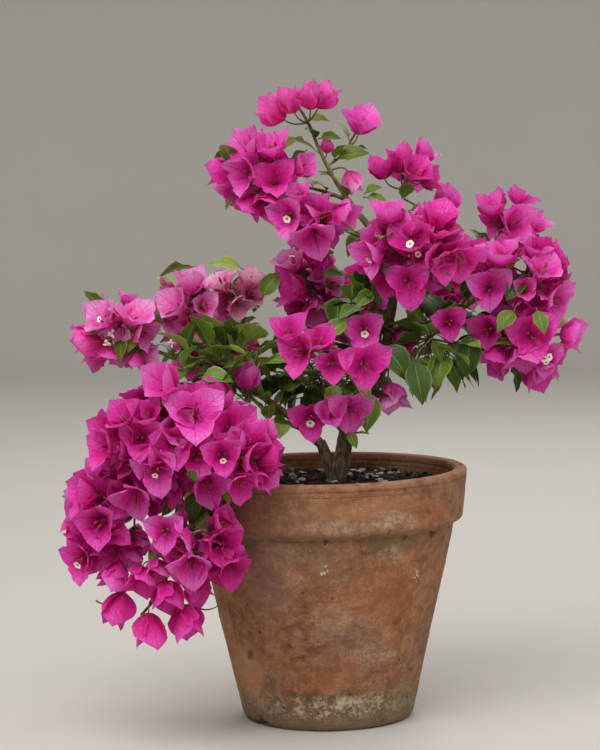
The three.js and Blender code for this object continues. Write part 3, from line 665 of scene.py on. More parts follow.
masses = [Mass(i, *row) for i, row in enumerate(MASSES)]
for mass in masses:
    others = [other for other in masses if other is not mass]
    towards = np.array([other.centre for other in others]) - mass.centre
    apart = np.linalg.norm(towards, axis=1)
    sizes = np.array([other.size for other in others])
    mass.directions = towards / apart[:, None]
    mass.planes = (apart**2 + mass.size**2 - sizes**2) / (2 * apart)


def cell_margin(mass, points):
    """How far inside the planes towards its neighbours the points of a mass lie, at the least."""
    return float(np.min(mass.planes - (points - mass.centre) @ mass.directions.T))


def bezier(a, b, c, steps):
    t = np.linspace(0, 1, steps + 1)[:, None]
    return (1 - t) ** 2 * a + 2 * t * (1 - t) * b + t**2 * c


class Limb:
    """A tapering limb that follows one curve. path is the source's coarse line along it."""

    def __init__(self, start, end, bend, radii, steps=LIMB_STEPS):
        start, end, bend = (np.array(p, float) for p in (start, end, bend))
        self.curve = (start, (start + end) / 2 + 2 * bend, end)
        self.path = bezier(*self.curve, steps)
        self.radii = radii

    def point_along(self, share):
        steps = len(self.path) - 1
        k = min(int(share * steps), steps - 1)
        return self.path[k] + (self.path[k + 1] - self.path[k]) * (share * steps - k)

    def heading(self):
        return unit(self.path[-1] - self.path[-2])

    def fine(self, steps):
        return bezier(*self.curve, steps), np.linspace(*self.radii, steps + 1)


def entry_point(mass, root):
    """Where a bough's tip lies in its mass: towards the bough's root, as near the edge as there is room."""
    towards = root - mass.centre
    edge = 1 / np.linalg.norm(towards / mass.reach)
    share = ENTRY["share"]
    while share > ENTRY["least"]:
        tip = mass.centre + towards * edge * share
        if cell_margin(mass, tip) > CLEAR["tip"]:
            return tip
        share -= ENTRY["step"]
    return mass.centre


def stem(base, tip, radius, tip_radius):
    foot = (*base, soil_level - TRUNK["sunk"])
    return Limb(foot, tip, (TRUNK["lean"] / 2, 0, 0), (radius, tip_radius), LIMB_STEPS + 1)


limbs = {"trunk": stem(**TRUNK["main"]), "left_stem": stem(**TRUNK["left"])}
for name, (parent, share), to, bend, radii in LEADER:
    limbs[name] = Limb(limbs[parent].point_along(share), to, bend, radii)
for mass in masses:
    root = limbs[mass.on[0]].point_along(mass.on[1])
    limbs[mass.name] = Limb(root, entry_point(mass, root), mass.bend, mass.radii)


class Bundle:
    """Gathers many small shapes, in millimetres, that become one mesh."""

    def __init__(self):
        self.points = []
        self.faces = []
        self.uvs = []
        self.count = 0

    def add(self, points, faces, uv=(0.0, 0.0)):
        self.points.append(points)
        self.faces += [[i + self.count for i in face] for face in faces]
        self.uvs.append(np.broadcast_to(np.asarray(uv, float), (len(points), 2)))
        self.count += len(points)

    def piece(self, name, finish, slot_name, *nodes):
        shown = mesh_object(name, np.vstack(self.points), self.faces, finish.material, np.vstack(self.uvs))
        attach(shown, "root")
        if nodes:
            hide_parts(*nodes)
        return shown


def furrow(turn, run, seed):
    """How far the bark stands out or in at a turn round a limb and a run along it."""
    return sum(
        depth * noise.noise(Vector((width * math.cos(turn), width * math.sin(turn), run / length + seed)))
        for width, length, depth in FURROWS
    )


def tube(path, radii, sides, relief=0.0, seed=0):
    """A closed tube along a path. relief furrows its skin lengthwise, as a share of its radius."""
    path = np.asarray(path, float)
    last = len(path) - 1
    along = np.array([unit(path[min(k + 1, last)] - path[max(k - 1, 0)]) for k in range(last + 1)])
    across = np.array((0.31, 0.67, 0.55))
    turns = np.linspace(0, 2 * math.pi, sides, endpoint=False)
    run = np.concatenate(([0], np.cumsum(np.linalg.norm(np.diff(path, axis=0), axis=1))))
    rings = []
    for k in range(last + 1):
        across = unit(across - along[k] * np.dot(across, along[k]))
        side = np.cross(along[k], across)
        radius = np.full(sides, float(radii[k]))
        if relief:
            radius *= [1 + relief * furrow(turn, run[k], seed) for turn in turns]
        skin = np.outer(radius * np.cos(turns), across) + np.outer(radius * np.sin(turns), side)
        rings.append(path[k] + skin)
    faces = []
    for k in range(last):
        for s in range(sides):
            n = (s + 1) % sides
            faces.append([k * sides + s, k * sides + n, (k + 1) * sides + n, (k + 1) * sides + s])
    tip = (last + 1) * sides
    for s in range(sides):
        n = (s + 1) % sides
        faces.append([tip, n, s])
        faces.append([tip + 1, last * sides + s, last * sides + n])
    cap = path[-1] + along[-1] * radii[-1] * 0.5
    return np.vstack([*rings, path[0], cap]), faces


bark = Finish("furrowed_bark", Roughness=0.92)
furrows = bark.place.stretched(1, 1, 0.3).cloudy(330, 5, 0.65, 0.6)
weathering = bark.place.cloudy(40, 4, 0.6)
bark_stops = (0.36, (0.024, 0.015, 0.008)), (0.48, (0.108, 0.072, 0.037)), (0.64, (0.34, 0.26, 0.155))
bark_colour = (0.6 * furrows + 0.4 * weathering).ramp(*bark_stops)
young_bark = furrows.tint((0.09, 0.065, 0.025), (0.26, 0.22, 0.085))
bark.set("Base Color", (bark.place.part(2).rise(0.36, 0.48) * 0.85).tint(bark_colour, young_bark))
bark.bump(furrows, 0.0022)
green_bark = Finish("olive_bark", Roughness=0.7)
olive = green_bark.place.stretched(1, 1, 0.5).cloudy(160, 4, 0.6)
olive_stops = (0.36, (0.07, 0.05, 0.022)), (0.52, (0.17, 0.135, 0.05)), (0.68, (0.3, 0.26, 0.11))
green_bark.paint(olive, *olive_stops)
green_bark.bump(olive, 0.0008)


def rooted(line, girth, depth):
    """A limb's line and girths, carried back by depth into the wood that it leaves."""
    return np.vstack([line[0] - unit(line[1] - line[0]) * depth, line]), np.array([girth[0], *girth])


old_wood = Bundle()
for name, side_count, drawn_in in STEMS:
    line, girth = limbs[name].fine(STEM_SKIN["steps"])
    above = line[:, 2] - soil_level
    flare = (TRUNK["flare"] - 1) * np.clip(1 - above / TRUNK["flare_height"], 0, 1) ** 1.3
    line[:, 0] += drawn_in * np.clip(1 - above / TRUNK["joined_height"], 0, 1)
    old_wood.add(*tube(line, girth * (1 + flare), side_count, STEM_SKIN["relief"], len(name)))
for name, *_ in LEADER:
    line, girth = rooted(*limbs[name].fine(LEADER_SKIN["steps"]), LEADER_SKIN["back"])
    old_wood.add(*tube(line, girth, LEADER_SKIN["sides"], LEADER_SKIN["relief"], len(name)))
old_wood.piece("bark_trunk", bark, "bark", "trunk", "leader_low", "leader_mid")

young_wood = Bundle()
for mass in masses:
    line, girth = limbs[mass.name].fine(BOUGH_SKIN["steps"])
    collar = 1 + BOUGH_SKIN["collar"] * np.exp(-np.linspace(0, 9, len(line)))
    line, thick = rooted(line, girth * collar, BOUGH_SKIN["back"])
    thick[0] = girth[0]
    slender = thick * BOUGH_SKIN["slender"]
    young_wood.add(*tube(line, slender, BOUGH_SKIN["sides"], BOUGH_SKIN["relief"], mass.seed % 50))

# The blossom: flowers of three papery bracts round three slender tubes, each at the end of its own twig.
# Those that the photo shows singly come first. Round them each mass grows from one stem by the source's
# rule, and goes on to finer twigs that end in a flower, with leaves below it, or in a leaf.

LEAF = {"length": 54, "half_width": 0.27, "widest": 0.42, "droop": 0.16, "thickness": 0.02}
FLOWER = {
    "length": 38, "spread": 0.6, "rise": 0.78, "fold_spread": 0.46, "fold_rise": 0.42, "thickness": 0.03,
}  # fmt: skip
# Layers of shoots: whether they end in a leaf, how far apart and how far out they end, how much they stray,
# how much room each takes, the size of the largest, and how far they keep to their own mass's side
LAYER_VALUES = ("leafy", "spacing", "outermost", "stray", "room", "largest", "apart")
LAYERS = {
    "first_flowers": (False, 60, 0.68, 0.5, 28, 1.04, 0.8),
    "more_flowers": (False, 35, 0.96, 1.5, 19, 0.96, -12),
    "hanging_flowers": (False, 31, 0.9, 1.8, 15.5, 0.96, -12),
    "few_flowers": (False, 90, 0.95, 1.0, 26, 0.9, -6),
    "first_leaves": (True, 43, 0.62, 2.6, 17, 1.04, 0.8),
    "more_leaves": (True, 29, 1.0, 2.6, 11, 0.98, -12),
    "few_leaves": (True, 50, 1.0, 2.2, 14, 0.8, -12),
}
BLOSSOM = ["first_flowers", "more_flowers", "few_leaves"]
CASCADE = ["first_flowers", "more_flowers", "hanging_flowers"]
LEAFAGE = ["first_leaves", "more_leaves", "few_flowers"]
BRIM = 1.1
INWARD_STEP = 0.06
LEAF_ROLL = 0.6
STEM = {"far": 1.4, "bow": 0.5, "steps": 4, "fine_steps": 14, "tip_radius": 1.43, "sides": 6}
# Where twigs can leave a bough: from which of its fine steps on
BEARING = {"steps": 24, "from": 8}
STALK = 12
TWIG_STEPS = 6
# Radii at a twig's root and tip, and its sides, by what it carries
TWIGS = {"seen": (1.17, 0.7, 5), "leaf": (1.04, 0.7, 4), "flower": (1.3, 0.8, 5)}
SHRINK = {"bough": 0.9, "inwards": 0.3}
GOLDEN_ANGLE = math.pi * (3 - math.sqrt(5))
segment_starts = np.vstack([limb.path[:-1] for limb in limbs.values()])
segment_runs = np.vstack([np.diff(limb.path, axis=0) for limb in limbs.values()])
limb_girths = [np.linspace(*limb.radii, len(limb.path)) for limb in limbs.values()]
segment_girths = np.concatenate([np.maximum(girths[:-1], girths[1:]) for girths in limb_girths])
FACTOR = 48271
MODULUS = 2147483647
ASKEW = (0.3, 0.5, 0.8)


def seeded(seed):
    """The source's generator: the same run of numbers from 0 to 1 for the same seed."""
    state = seed

    def draw():
        nonlocal state
        state = (state * FACTOR) % MODULUS
        return state / MODULUS

    return draw


def drawn(draw, *ranges):
    """The next random number in each of the ranges."""
    return [low + (high - low) * draw() for low, high in ranges]


def distance_to_limbs(points):
    offset = points[:, None, :] - segment_starts[None]
    share = np.einsum("psk,sk->ps", offset, segment_runs) / np.sum(segment_runs**2, axis=1)
    nearest = offset - np.clip(share, 0, 1)[:, :, None] * segment_runs[None]
    return float(np.min(np.linalg.norm(nearest, axis=2) - segment_girths))


def in_pot(points):
    z = points[:, 2]
    wall = POT["foot"] + (POT["body_top"] - POT["foot"]) * np.maximum(z, 0) / body_top
    wall[z > body_top] = POT["rim"]
    low = z < POT["height"] + CLEAR["pot"]
    return bool(np.any(low & (np.hypot(points[:, 0], points[:, 1]) < wall + CLEAR["pot"])))


def fits(mass, points, apart, brim=BRIM):
    points = np.asarray(points)
    if np.max(np.linalg.norm((points - mass.centre) / mass.reach, axis=1)) > brim:
        return False
    if cell_margin(mass, points) < apart or in_pot(points):
        return False
    return distance_to_limbs(points) > CLEAR["limb"]


def flower(centre, axis, turn, size):
    """The corners of a flower's cup, as in the source, and the way that its first bract points."""
    length = FLOWER["length"] * size
    across = about(unit(np.cross(ASKEW, axis)), axis, turn)
    points = []
    for i in range(3):
        angle = i * 2 * math.pi / 3
        for bearing, spread, rise in (
            (angle, FLOWER["spread"], FLOWER["rise"]),
            (angle + math.pi / 3, FLOWER["fold_spread"], FLOWER["fold_rise"]),
        ):
            points.append(centre + about(across, axis, bearing) * spread * length + axis * rise * length)
    points.append(centre + axis * FLOWER["thickness"] * length)
    return np.array(points), across


def leaf(root, heading, turn, size):
    """The corners of a leaf's blade, as in the source, and the way that its upper side faces."""
    length = LEAF["length"] * size
    side = unit(np.cross((0, 0, 1), heading))
    up = about(np.cross(heading, side), heading, turn)
    side = about(side, heading, turn)
    widest, half = LEAF["widest"], LEAF["half_width"]
    corners = (widest, 0, LEAF["thickness"]), (widest, -half, 0), (widest, half, 0), (1, 0, 0)
    points = []
    for along, out, rise in corners:
        sag = np.array((0, 0, -LEAF["droop"] * length * along**2))
        points.append(root + (heading * along + side * out + up * rise) * length + sag)
    return np.array(points), up


def samples_of(root, points):
    return np.vstack([points, (points[1:] + points[:-1]) / 2, (points + root) / 2])


def shoot_ends(mass, layer, seed):
    random = seeded(seed)
    count = max(3, math.floor(4 * math.pi * mass.size**2 / layer["spacing"] ** 2 + 0.5))
    start = random() * 2 * math.pi
    for i in range(count):
        height = 1 - 2 * (i + 0.5) / count
        ring = math.sqrt(1 - height**2)
        bearing = start + i * GOLDEN_ANGLE
        direction = np.array((ring * math.cos(bearing), ring * math.sin(bearing), height))
        stray = np.array((random() - 0.5, random() - 0.5, random() - 0.5))
        yield direction, unit(direction + stray * layer["stray"]), 2 * math.pi * random()


def settle(mass, layer, direction, axis, turn):
    """Moves a shoot end inwards, and makes what it carries a little smaller, until it fits."""
    share = layer["outermost"]
    while share > 0:
        point = mass.centre + direction * mass.reach * share
        size = layer["largest"] - SHRINK["inwards"] * (layer["outermost"] - share)
        if layer["leafy"]:
            points, facing = leaf(point, axis, (turn / math.pi - 1) * LEAF_ROLL, size)
        else:
            points, facing = flower(point, axis, turn, size)
        if fits(mass, samples_of(point, points), layer["apart"]):
            return point, axis, facing, size
        share -= INWARD_STEP
    return None


# Flowers that the photo shows one by one, by mass: X and Z of its heart, the way that it opens, its size,
# how far it is open, and its tint if that isn't the mass's own, or the open florets that it shows
# Rosy and pale tints given here are painted light, and deep ones painted shade.
SEEN = {
    "crown_tip": [
        (9, 591, (0.1, -0.1, 1), 0.42, 0),
        (30, 572, (0.4, -0.2, -0.9), 0.68, 0.05),
        (-34, 626, (-0.8, -0.2, 0.6), 1, 0.3, "coral"),
        (-23, 633, (-0.35, -0.3, 0.9), 0.85, 0.15, "coral"),
        (-7, 636, (0.05, -0.3, 1), 0.95, 0.12, "coral"),
        (1, 637, (0.5, -0.1, 0.85), 0.95, 0.22, "coral"),
    ],
    "crown_side": [
        (42, 610, (0.25, -0.4, 0.85), 1.15, 0.5),
    ],
    "upper_left": [
        (-68, 573, (-0.6, -0.7, -0.1), 1, 0.6),
        (-65, 586, (-0.6, -0.4, 0.6), 1, 0.5),
        (-45, 587, (-0.15, -0.4, 0.9), 1.05, 0.5),
        (-24, 571, (0.7, -0.4, 0.5), 0.85, 0.4),
        (-44, 560, (-0.1, -0.8, 0.5), 1.05, 0.75),
        (-50, 551, (-0.2, -0.5, -0.7), 1.05, 0.5),
        (-64, 550, (-0.5, -0.2, -0.8), 0.95, 0.4),
        (-89, 572, (-0.95, -0.1, 0.1), 0.8, 0.25),
    ],
    "upper_mid": [
        (-27, 528, (-0.4, -0.8, 0), 1, 0.6, "star"),
        (-6, 514, (0.05, -0.7, -0.6), 1.1, 0.7),
        (14, 531, (0.8, -0.5, -0.1), 0.95, 0.25),
        (-17, 540, (-0.2, -0.3, 0.8), 0.8, 0.4),
    ],
    "middle": [
        (-27, 468, (-0.3, -0.2, 0.9), 1, 0.6, "rosy"),
        (-15, 448, (-0.8, -0.4, 0.1), 1.15, 0.4),
        (-7, 438, (0.1, -0.5, -0.8), 0.95, 0.5),
        (5, 452, (0.6, -0.6, 0.2), 0.8, 0.5, "rosy"),
    ],
    "upper_right": [
        (71, 563, (-0.25, -0.3, 0.95), 0.85, 0.35),
        (87, 569, (-0.05, 0.2, 0.95), 1, 0.3),
        (97, 562, (0.4, -0.6, 0.6), 1.1, 0.55),
        (109, 558, (0.8, -0.2, 0.3), 1, 0.5),
        (137, 526, (0.1, -0.1, 1), 0.95, 0.1),
    ],
    "right_front": [
        (71, 519, (-0.1, -0.3, 0.9), 0.95, 0.5),
        (61, 491, (-0.8, -0.5, -0.3), 1.1, 0.6, "star"),
        (88, 462, (0, -1, -0.15), 1.15, 1),
        (95, 490, (-0.3, -0.5, 0.8), 1.1, 0.6, "star"),
        (111, 500, (0.3, -0.3, 0.9), 1.1, 0.5),
        (115, 488, (0.55, -0.7, -0.35), 1.15, 0.75),
        (136, 489, (0.2, -0.7, -0.6), 1.2, 0.85),
        (117, 512, (0.2, -0.3, 0.9), 1.1, 0.45),
    ],
    "right_top": [
        (183, 520, (-0.2, -0.5, 0.85), 0.95, 0.4),
        (197, 509, (0.5, -0.6, 0.2), 1.15, 0.5),
        (222, 506, (0.6, -0.2, 0.6), 0.8, 0.4),
        (218, 504, (0.1, -0.2, -0.95), 0.6, 0.1),
    ],
    "far_right_high": [
        (188, 470, (-0.15, -0.4, 0.9), 1.1, 0.6),
        (175, 449, (-0.1, -0.9, 0.1), 1.05, 0.7),
        (227, 456, (0.2, -0.4, 0.85), 1.1, 0.6),
        (234, 438, (0.7, -0.6, -0.2), 1.1, 0.7),
        (211, 446, (0, -0.9, 0.3), 0.65, 0.5, "coral"),
        (206, 436, (0.1, -0.6, -0.7), 0.55, 0.3, "coral"),
        (161, 475, (-0.2, -0.6, 0.7), 1, 0.5),
    ],
    "far_right_low": [
        (177, 408, (-0.5, -0.8, -0.2), 0.9, 0.6),
        (215, 400, (0.1, -0.9, 0.1), 1.2, 0.85),
        (184, 390, (-0.4, -0.3, -0.85), 0.9, 0.35),
        (207, 390, (0, -0.4, -0.9), 1, 0.4),
        (227, 378, (0.25, -0.9, -0.2), 0.8, 0.85, "stars"),
        (246, 399, (0.9, -0.3, -0.05), 0.95, 0.5),
    ],
    "green_right": [
        (69, 354, (0.2, -0.2, -0.95), 1.05, 0.35, "rosy"),
        (130, 417, (0, -1, 0), 0.8, 0.8),
    ],
    "green_centre": [
        (44, 409, (0, -1, 0.05), 0.95, 0.75, "star"),
        (76, 405, (0.5, -0.6, -0.3), 0.85, 0.3, "deep"),
    ],
    "front_mid": [
        (-14, 394, (-0.6, -0.7, 0.1), 1.15, 0.7),
        (10, 383, (0, -1, -0.1), 0.9, 0.8),
        (40, 383, (0.2, -0.9, -0.2), 1.05, 0.95),
        (-31, 406, (-0.2, -0.6, 0.8), 0.9, 0.5),
        (-4, 397, (0.1, -0.6, 0.7), 0.85, 0.45),
    ],
    "front_low": [
        (-12, 325, (-0.1, -0.95, -0.2), 0.88, 0.75, "star"),
        (25, 335, (0.2, -0.8, -0.3), 1.05, 0.95),
        (4, 327, (0.2, -0.8, 0.3), 0.9, 0.6),
    ],
    "green_left": [
        (-78, 352, (0.1, -0.2, 1), 1, 0.1),
    ],
    "left_tip": [
        (-218, 417, (-0.6, -0.5, 0.6), 1, 0.5),
        (-196, 417, (0.2, -0.5, 0.85), 1.1, 0.75),
        (-228, 402, (-0.9, -0.2, -0.25), 0.95, 0.3, "coral"),
        (-221, 397, (-0.2, -0.4, -0.9), 0.7, 0.4, "coral"),
        (-194, 410, (0.8, -0.4, -0.2), 0.9, 0.5),
        (-192, 388, (-0.3, -0.2, -0.9), 0.6, 0.2),
    ],
    "left_mid": [
        (-136, 447, (0, -0.3, 0.95), 1.05, 0.3),
        (-142, 429, (-0.6, -0.5, 0.5), 1, 0.5),
        (-126, 434, (0.5, -0.7, 0.1), 0.7, 0.6),
        (-134, 418, (0, -0.9, -0.3), 0.85, 0.7, "coral"),
    ],
    "left_inner": [
        (-101, 449, (-0.3, -0.3, 0.9), 0.95, 0.7, "pale"),
        (-75, 449, (0.1, -0.2, 0.97), 0.9, 0.4),
        (-91, 439, (0.4, -0.7, -0.5), 0.8, 0.5, "pale"),
    ],
    "cascade_top": [
        (-147, 357, (-0.6, -0.6, 0.5), 1.2, 0.35),
        (-128, 331, (0.05, -0.8, 0.5), 1.3, 0.8),
        (-95, 318, (0.35, -0.9, 0.2), 1.25, 0.85),
        (-191, 326, (-0.5, -0.5, 0.7), 1, 0.5),
        (-173, 326, (-0.1, -0.6, 0.8), 1, 0.5),
        (-179, 312, (-0.2, -1, 0.1), 0.95, 0.8),
        (-147, 308, (0, -1, 0.1), 0.95, 0.8),
        (-126, 296, (0.1, -1, 0), 0.95, 0.8),
        (-209, 302, (-0.7, -0.6, 0.2), 1.05, 0.6),
        (-164, 284, (-0.2, -0.9, -0.2), 1.1, 0.8, "star"),
        (-121, 272, (0.45, -0.75, -0.45), 1.15, 0.6),
        (-187, 262, (-0.2, -0.7, -0.6), 1.2, 0.55),
    ],
    "cascade_side": [
        (-100, 298, (0.1, -1, 0), 0.9, 0.7, "star"),
        (-79, 295, (0.85, -0.5, -0.1), 1.1, 0.5),
        (-86, 276, (0.4, -0.7, -0.5), 0.9, 0.6),
    ],
    "cascade_out": [
        (-226, 254, (-0.85, -0.4, 0.1), 1.1, 0.5),
        (-221, 231, (-0.3, -0.9, -0.2), 1.15, 0.6),
        (-239, 191, (-0.6, -0.8, -0.1), 1.05, 0.7, "star"),
        (-208, 188, (-0.2, -0.5, -0.8), 0.9, 0.3),
    ],
    "cascade_in": [
        (-158, 222, (0, -1, 0), 0.95, 0.8),
        (-108, 213, (0.4, -0.8, -0.2), 1, 0.6, "deep"),
        (-100, 192, (0.5, -0.6, -0.5), 0.9, 0.5, "deep"),
        (-132, 196, (0, -0.8, -0.5), 1, 0.6),
    ],
    "cascade_low": [
        (-203, 158, (-0.25, -0.2, -0.95), 1.15, 0.1),
        (-178, 137, (0, -0.2, -1), 1.2, 0.15),
        (-143, 144, (0.2, -0.2, -0.95), 1.15, 0.2),
        (-160, 169, (0.1, -0.4, -0.9), 1, 0.3),
        (-134, 170, (0.4, -0.4, -0.8), 0.9, 0.2),
        (-183, 183, (-0.1, -0.6, -0.7), 1, 0.4),
        (-169, 190, (0.05, -0.5, -0.85), 0.85, 0.35),
        (-206, 180, (-0.4, -0.4, -0.8), 0.9, 0.3),
    ],
}
SEEN_DEPTH = 0.62
FOREMOST = -176
BRACT_DOWN = np.array((0.12, 0, -1))
LEAF_FACING = np.array((0.1, -0.7, 0.7))
GROWN = dict.fromkeys(("crown_tip", "crown_side", "cascade_low", "front_mid", "front_low"), ())
GROWN.update(dict.fromkeys(("right_top", "upper_right"), BLOSSOM[:1]))
# Leaves that it shows: where the stalk starts, the way that the leaf points, its size and shade, of which
# dark is painted shade
SEEN_LEAVES = [
    ((0, 0, 606), (0.95, -0.2, 0.2), 0.45, "green"),
    ((16, 0, 584), (0.9, -0.25, 0.3), 0.72, "green"),
    ((-11, 0, 595), (-0.75, -0.4, -0.5), 0.45, "dark"),
    ((11, 0, 548), (-0.5, -0.4, -0.75), 0.55, "green"),
    ((-13, -4, 555), (-1, -0.2, 0.1), 0.5, "green"),
    ((-23, -8, 553), (-0.3, -0.5, -0.8), 0.42, "young"),
    ((47, 0, 548), (0.8, -0.1, 0.5), 0.42, "green"),
    ((46, -2, 545), (0.95, -0.25, -0.15), 0.55, "green"),
    ((95, 60, 529), (1, -0.2, 0.15), 0.4, "green"),
    ((47, -6, 510), (-0.6, -0.35, -0.65), 0.66, "green"),
    ((-11, 0, 626), (0.9, -0.2, 0.1), 0.42, "young"),
    ((-20, 0, 609), (-0.8, -0.2, -0.5), 0.34, "young"),
    ((-63, 20, 439), (0.45, -0.2, 0.85), 0.7, "green"),
    ((-1, 0, 464), (0.95, -0.25, 0.2), 0.52, "green"),
    ((64, -60, 468), (-0.15, -0.5, -0.85), 0.62, "dark"),
    ((56, -60, 451), (-0.7, -0.5, -0.5), 0.55, "green"),
    ((109, -60, 469), (0.8, -0.5, -0.45), 0.65, "dark"),
    ((199, -52, 428), (-0.6, -0.6, -0.55), 0.58, "green"),
    ((220, -52, 429), (0.25, -0.55, -0.8), 0.55, "green"),
    ((152, -55, 408), (-0.1, -0.3, -1), 0.95, "dark"),
    ((113, -60, 401), (0.35, -0.3, -0.9), 0.55, "green"),
    ((92, -75, 383), (0.2, -0.45, -0.9), 0.9, "dark"),
    ((57, -70, 398), (0.7, -0.5, -0.6), 0.98, "dark"),
    ((49, -60, 351), (-0.1, -0.35, -1), 0.9, "green"),
    ((24, -90, 310), (0.5, -0.4, -0.8), 0.42, "green"),
    ((18, -90, 359), (-0.5, -0.5, -0.7), 0.55, "green"),
    ((29, -60, 421), (-0.8, -0.5, -0.4), 0.65, "green"),
    ((35, -100, 362), (0.5, -0.6, -0.6), 0.5, "green"),
    ((-111, -95, 340), (0.75, -0.5, -0.3), 0.8, "green"),
    ((-126, -90, 367), (0.8, -0.4, 0.1), 0.7, "green"),
    ((-58, -90, 327), (-0.1, -0.4, -0.9), 0.5, "dark"),
    ((-133, -165, 283), (0.3, -0.7, -0.4), 0.4, "dark"),
    ((-130, -122, 258), (-0.1, -0.5, -0.85), 0.6, "dark"),
    ((-118, -120, 252), (0.3, -0.4, -0.85), 0.5, "dark"),
    ((-148, -116, 246), (-0.6, -0.4, -0.5), 0.45, "green"),
    ((-166, -116, 190), (0.2, -0.6, 0.6), 0.4, "green"),
]
# Gaps that it shows in the hanging spray: X and Z of the middle, and how far each keeps flowers away
GAPS = [((-130, 234), (24, 21)), ((-184, 217), (27, 21))]

# What is grown, in rows. A flower: heart, axis, the first bract's way, size, mass, openness or None, and
# its tint or florets where they are given. A leaf: root, heading, the upper side's way, size, and its
# shade, or a number where that isn't given. A twig: line, radii at its ends, and sides.
flowers = []
leaves = []
twigs = []
SUBTENDING = {
    "chance": 0.42, "onward": 0.9, "size": (0.45, 0.85), "roll": (-1, 1), "apart": -12, "brim": 1.2,
}  # fmt: skip


def in_a_gap(point):
    return any(np.linalg.norm((point[[0, 2]] - at) / reach) < 1 for at, reach in GAPS)


def open_seen(mass, bearers, opened, wood):
    """Places the mass's flowers that the photo shows, each on a twig from the nearest of the bearers."""
    for x, z, towards, size, openness, *tint in SEEN.get(mass.name, ()):
        off = np.array((x - mass.centre[0], z - mass.centre[2])) / mass.reach[[0, 2]]
        front = math.sqrt(max(0, 1 - off @ off))
        heart = np.array((x, max(FOREMOST, mass.centre[1] - SEEN_DEPTH * mass.reach[1] * front), z))
        axis = unit(np.array(towards))
        across = unit(BRACT_DOWN - axis * np.dot(BRACT_DOWN, axis))
        opened.append(heart + axis * FLOWER["length"] / 2)
        neck = heart - axis * STALK * size
        root = min(bearers, key=lambda w: np.linalg.norm(w - neck))
        flowers.append((heart, axis, across, size, mass, openness, *tint))
        twigs.append((bezier(root, neck, heart, TWIG_STEPS), *TWIGS["seen"]))
        wood.append(neck)


def subtend(mass, neck, axis, whim):
    """A leaf at the neck of a flower's stalk, where there is room."""
    aside = unit(np.cross(axis, (whim() - 0.5, whim() - 0.5, whim() - 0.5)))
    heading = unit(SUBTENDING["onward"] * axis + aside)
    size, roll = drawn(whim, SUBTENDING["size"], SUBTENDING["roll"])
    points, up = leaf(neck, heading, roll, size)
    if fits(mass, points, SUBTENDING["apart"], SUBTENDING["brim"]):
        leaves.append((neck, heading, up, size, whim()))


def grow(mass):
    """Grows one mass: its stem, the flowers that are seen, and layers of shoots round them."""
    bough = limbs[mass.name]
    start = bough.path[-1]
    end = start + (mass.centre - start) * STEM["far"]
    turning = start + bough.heading() * np.linalg.norm(end - start) * STEM["bow"]
    stem_path = bezier(start, turning, end, STEM["steps"])
    fine_path = bezier(start, turning, end, STEM["fine_steps"])
    twigs.append((fine_path, bough.radii[1] * SHRINK["bough"], STEM["tip_radius"], STEM["sides"]))
    wood = list(stem_path[1:])
    bearers = wood + list(bough.fine(BEARING["steps"])[0][BEARING["from"]:])
    opened = []
    whim = seeded(mass.seed + 5)
    open_seen(mass, bearers, opened, wood)
    layers = LEAFAGE if mass.leafy else CASCADE if mass.name.startswith("cascade") else BLOSSOM
    for depth, name in enumerate(GROWN.get(mass.name, layers)):
        layer = dict(zip(LAYER_VALUES, LAYERS[name]))
        ends = [settle(mass, layer, *shoot) for shoot in shoot_ends(mass, layer, mass.seed + 7 * depth)]
        ends = sorted((e for e in ends if e), key=lambda e: np.linalg.norm(e[0] - start))
        for point, axis, facing, size in ends:
            middle = point + axis * FLOWER["length"] / 2
            crowded = any(np.linalg.norm(other - middle) < layer["room"] for other in opened)
            if crowded or (not layer["leafy"] and in_a_gap(middle)):
                continue
            neck = point - axis * STALK
            root = min(wood, key=lambda w: np.linalg.norm(w - neck))
            bent = not layer["leafy"] and np.linalg.norm(root - neck) > STALK
            path = np.array([root, neck, point] if bent else [root, point])
            if not fits(mass, [*path[1:], (path[0] + path[1]) / 2], layer["apart"]):
                continue
            opened.append(middle)
            if layer["leafy"]:
                leaves.append((point, axis, facing, size, whim()))
                twigs.append((path, *TWIGS["leaf"]))
                continue
            flowers.append((point, axis, facing, size, mass, None))
            twigs.append((bezier(*path, TWIG_STEPS) if bent else path, *TWIGS["flower"]))
            if not bent:
                continue
            wood += [neck, (root + neck) / 2]
            if whim() < SUBTENDING["chance"]:
                subtend(mass, neck, axis, whim)


ALONG = {
    "first": 0.2, "apart": 14, "chance": 0.82, "stalk": 5, "sunk": 0.6, "turn": (0, 1), "onward": (0.3, 1),
    "size": (0.4, 0.8), "roll": (-0.6, 0.6), "upward": 0.25,
}  # fmt: skip


def leaves_along(limb, seed, first=ALONG["first"]):
    """Leaves one at a time along a bough, each a golden angle round from the last."""
    whim = seeded(seed)
    line, girth = limb.fine(60)
    run = np.concatenate(([0], np.cumsum(np.linalg.norm(np.diff(line, axis=0), axis=1))))
    places = np.arange(first * run[-1], run[-1], ALONG["apart"])
    for n, place in enumerate(places):
        k = min(int(np.searchsorted(run, place)), len(line) - 2)
        heading = unit(line[k + 1] - line[k])
        turn, onward, size, roll = drawn(whim, *(ALONG[key] for key in ("turn", "onward", "size", "roll")))
        spoke = about(unit(np.cross(heading, ASKEW)), heading, n * GOLDEN_ANGLE + turn)
        out = unit(spoke + heading * onward + np.array((0, 0, ALONG["upward"])))
        root = line[k] + spoke * girth[k] * ALONG["sunk"]
        points, up = leaf(root + out * ALONG["stalk"], out, roll, size)
        if whim() < ALONG["chance"] and not in_pot(points):
            leaves.append((root, out, up, size, whim()))


